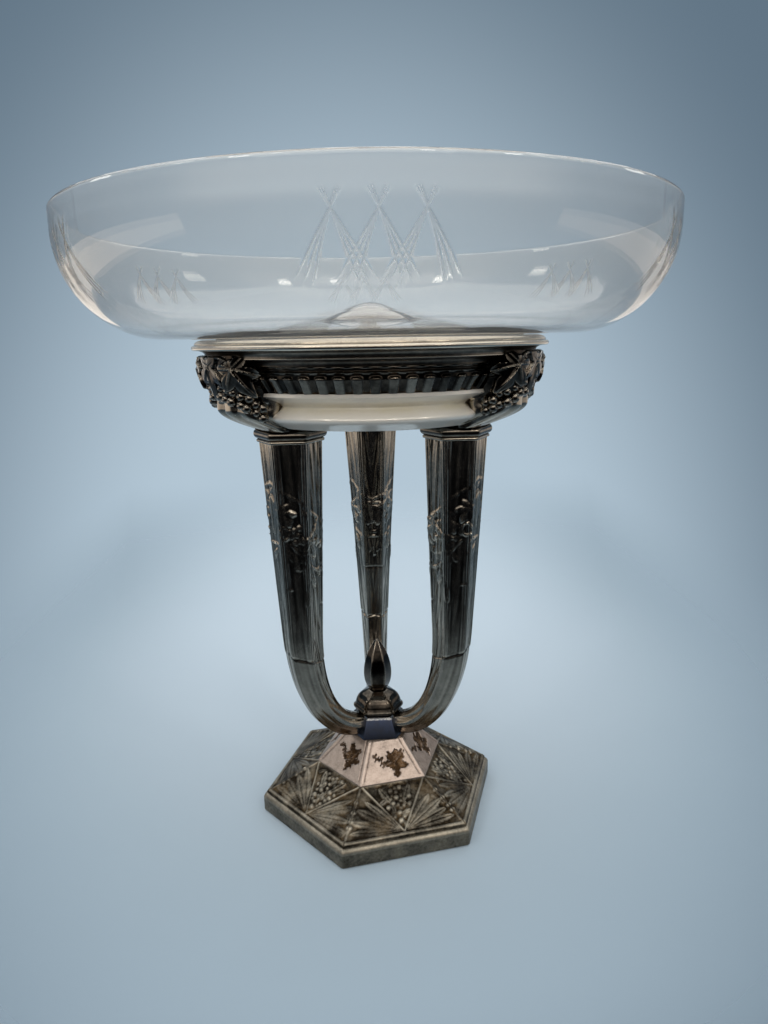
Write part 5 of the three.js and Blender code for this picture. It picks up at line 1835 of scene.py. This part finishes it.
@dataclass
class Studio:
    """The plain setting: pale floor, soft lamps and a camera at the photograph's angle."""

    LAMPS = (
        ("top_box", (0.0, 0.1, 1.5), (3.2, 3.0), 1.4, "#fffdf8"),
        ("left_box", (-1.05, 0.3, 0.14), (2.2, 0.28), 0.8, "#ffe9d0"),
        ("right_box", (1.05, 0.3, 0.14), (2.2, 0.28), 0.55, "#ffe9d0"),
        ("viewer_box", (-0.1, -1.15, 0.85), (1.4, 0.5), 1.2, "#fff8f2"),
        ("left_window", (-1.1, 0.04, 0.67), (0.2, 0.2), 5.0, "#fffaf0"),
        ("right_window", (1.1, 0.04, 0.67), (0.2, 0.2), 4.0, "#fffaf0"),
        ("near_right_window", (0.76, -0.79, 0.83), (0.12, 0.28), 8.0, "#fffaf0"),
        ("near_window", (0.32, -1.05, 0.84), (0.08, 0.2), 8.0, "#fffaf0"),
        ("near_left_window", (-0.7, -0.84, 0.83), (0.14, 0.28), 8.0, "#fffaf0"),
    )

    image_height: float = 1024
    focal_pixels: float = 714.64
    camera_distance: float = 403.1
    camera_height: float = 281.0
    camera_azimuth: float = -1.4
    yaw: float = 0.0142
    pitch: float = 0.2376
    roll: float = -0.0185
    sensor: float = 36
    floor_radius: float = 1.6
    painted_pool_middle: float = 0.3
    painted_pool_half_width: float = 0.42
    painted_pool_half_depth: float = 0.62
    painted_pool_colour: str = "#bccad6"
    painted_falloff_colour: str = "#8a9ba8"
    painted_falloff: Pair = (0.25, 0.85)
    floor_fade: Pair = (0.5, 1.15)
    floor_far: Pair = (0.15, 1.1)
    painted_front_shade: Pair = (-0.14, -0.33)
    no_limit: float = 9
    glow_dip: float = 20.9
    glow_stretch: tuple[float, float, float] = (1.32, 1.0, 0.85)
    glow_from: float = 20
    glow_to: float = 50
    glow_colour: str = "#b3c6d4"
    sky_colour: str = "#627585"
    front_colour: str = "#14161a"
    # The dark front of the surround, also used on the floor towards the viewer as painted shade.
    room_colour: str = "#e6e1da"
    front_range: Pair = (-0.25, -0.7)
    room_range: Pair = (0.03, 0.16)
    lamp_aim: tuple[float, float, float] = (0, 0, 0.2)

    def build(self) -> None:
        """Makes camera, world, floor and lamps."""
        self.camera()
        self.world()
        self.floor()
        self.lamps()

    def camera(self) -> None:
        """The camera, placed and turned as the photograph's was."""
        lens = bpy.data.cameras.new("camera")
        lens.sensor_fit = "VERTICAL"
        lens.sensor_height = self.sensor
        lens.lens = self.focal_pixels / self.image_height * self.sensor
        lens.clip_start = 0.01
        ahead = Vector((math.sin(self.yaw) * math.cos(self.pitch), math.cos(self.yaw) * math.cos(self.pitch),
                        -math.sin(self.pitch)))
        right = Vector((math.cos(self.yaw), -math.sin(self.yaw), 0))
        up = right.cross(ahead)
        level = math.cos(self.roll) * right + math.sin(self.roll) * up
        upright = -math.sin(self.roll) * right + math.cos(self.roll) * up
        facing = Matrix((level, upright, -ahead)).transposed().to_4x4()
        stand = Matrix.Translation(Vector((0, -self.camera_distance, self.camera_height)) * MM)
        camera = bpy.data.objects.new("camera", lens)
        bpy.context.scene.collection.objects.link(camera)
        camera.matrix_world = Matrix.Rotation(math.radians(self.camera_azimuth), 4, "Z") @ stand @ facing
        bpy.context.scene.camera = camera

    def world(self) -> None:
        """A blue-grey surround: a glow behind the object, a grey room over a dark table behind the viewer."""
        world = bpy.data.worlds.new("surround")
        bpy.context.scene.world = world
        world.use_nodes = True
        tree = world.node_tree
        tree.nodes.clear()
        direction = add(tree, "TexCoord").outputs["Generated"]
        dip = math.radians(self.glow_dip)
        upright = add(tree, "VectorMath", {0: direction, 1: self.glow_stretch}, operation="MULTIPLY")
        upright = add(tree, "VectorMath", {0: upright}, operation="NORMALIZE")
        facing = add(tree, "VectorMath", {0: upright, 1: (0, math.cos(dip), -math.sin(dip))},
                     operation="DOT_PRODUCT").outputs["Value"]
        angle = add(tree, "Math", {0: facing}, operation="ARCCOSINE")
        away = add(tree, "MapRange", {
            "Value": angle, "From Min": math.radians(self.glow_from), "From Max": math.radians(self.glow_to)},
            interpolation_type="SMOOTHSTEP")
        colour = add(tree, "Mix", {
            0: away, 6: linear(self.glow_colour), 7: linear(self.sky_colour)}, data_type="RGBA").outputs[2]
        axes = add(tree, "SeparateXYZ", {0: direction})
        front, height = (
            add(tree, "MapRange", {"Value": axes.outputs[axis], "From Min": start, "From Max": end},
                interpolation_type="SMOOTHSTEP")
            for axis, (start, end) in (("Y", self.front_range), ("Z", self.room_range)))
        room = add(tree, "Mix", {
            0: height, 6: linear(self.front_colour), 7: linear(self.room_colour)},
            data_type="RGBA").outputs[2]
        colour = add(tree, "Mix", {0: front, 6: colour, 7: room}, data_type="RGBA").outputs[2]
        light = add(tree, "Background", {"Color": colour, "Strength": 1.0})
        add(tree, "OutputWorld", {"Surface": light})

    def floor(self) -> None:
        """A floor with painted light and shade: a painted pool of light pales it towards its middle, painted
        shade darkens it towards the sides and the viewer, and it melts into the surround.
        """
        mesh = bpy.data.meshes.new("floor")
        shape = bmesh.new()
        bmesh.ops.create_circle(shape, cap_ends=True, segments=96, radius=self.floor_radius)
        shape.to_mesh(mesh)
        shape.free()
        floor = bpy.data.objects.new("floor", mesh)
        bpy.context.scene.collection.objects.link(floor)
        made, tree = blank("matt_studio_floor")
        place = add(tree, "TexCoord").outputs["Object"]
        scaled = add(tree, "Mapping", {
            "Vector": place, "Location": (0, -self.painted_pool_middle / self.painted_pool_half_depth, 0),
            "Scale": (1 / self.painted_pool_half_width, 1 / self.painted_pool_half_depth, 1)})
        # The painted pool of light: beyond its middle only the distance to the side counts.
        nearer = add(tree, "VectorMath", {0: scaled, 1: (self.no_limit, 0, self.no_limit)},
                     operation="MINIMUM")
        reach = add(tree, "VectorMath", {0: nearer}, operation="LENGTH").outputs["Value"]
        depth = add(tree, "SeparateXYZ", {0: place}).outputs["Y"]
        aside, fade, far, front = (
            add(tree, "MapRange", {"Value": value, "From Min": start, "From Max": end},
                interpolation_type="SMOOTHSTEP")
            for value, (start, end) in ((reach, self.painted_falloff), (reach, self.floor_fade),
                                        (depth, self.floor_far), (depth, self.painted_front_shade)))
        fade = add(tree, "Math", {0: fade, 1: far}, operation="MAXIMUM")
        # Painted light and shade: the pale pool in the middle falls off to a darker edge, and turns dark
        # towards the viewer.
        colour = add(tree, "Mix", {
            0: aside, 6: linear(self.painted_pool_colour), 7: linear(self.painted_falloff_colour)},
            data_type="RGBA").outputs[2]
        colour = add(tree, "Mix", {0: front, 6: colour, 7: linear(self.front_colour)},
                     data_type="RGBA").outputs[2]
        matt = add(tree, "BsdfDiffuse", {"Color": colour})
        gone = add(tree, "BsdfTransparent")
        both = add(tree, "MixShader", {0: fade, 1: matt, 2: gone})
        add(tree, "OutputMaterial", {"Surface": both})
        mesh.materials.append(made)

    def lamps(self) -> None:
        """Large soft boxes overhead, to both sides and above the viewer, and small windows for sparkle."""
        for name, spot, size, radiance, colour in self.LAMPS:
            lamp = bpy.data.lights.new(name, "AREA")
            lamp.shape = "RECTANGLE"
            lamp.size, lamp.size_y = size
            lamp.energy = radiance * math.pi * size[0] * size[1]
            lamp.color = linear(colour)[:3]
            holder = bpy.data.objects.new(name, lamp)
            bpy.context.scene.collection.objects.link(holder)
            holder.location = spot
            aim = Vector(self.lamp_aim) - Vector(spot)
            holder.rotation_euler = aim.to_track_quat("-Z", "Y").to_euler()


def main() -> None:
    """Builds the setting and every piece, in order."""
    logging.basicConfig(level=logging.INFO, format="%(name)s %(message)s")
    bpy.context.scene.view_settings.view_transform = "Standard"
    Studio().build()
    dish, frieze = HolderDish(), FlutedFrieze()
    GlassBowl().build()
    BowlRing().build()
    frieze.build()
    dish.build()
    for side in Side:
        Capital(side).build(dish, frieze)
        Arm(side).build()
    HubStack().build()
    Base().build()
    HiddenPieces().dress()


if __name__ == "__main__":
    main()
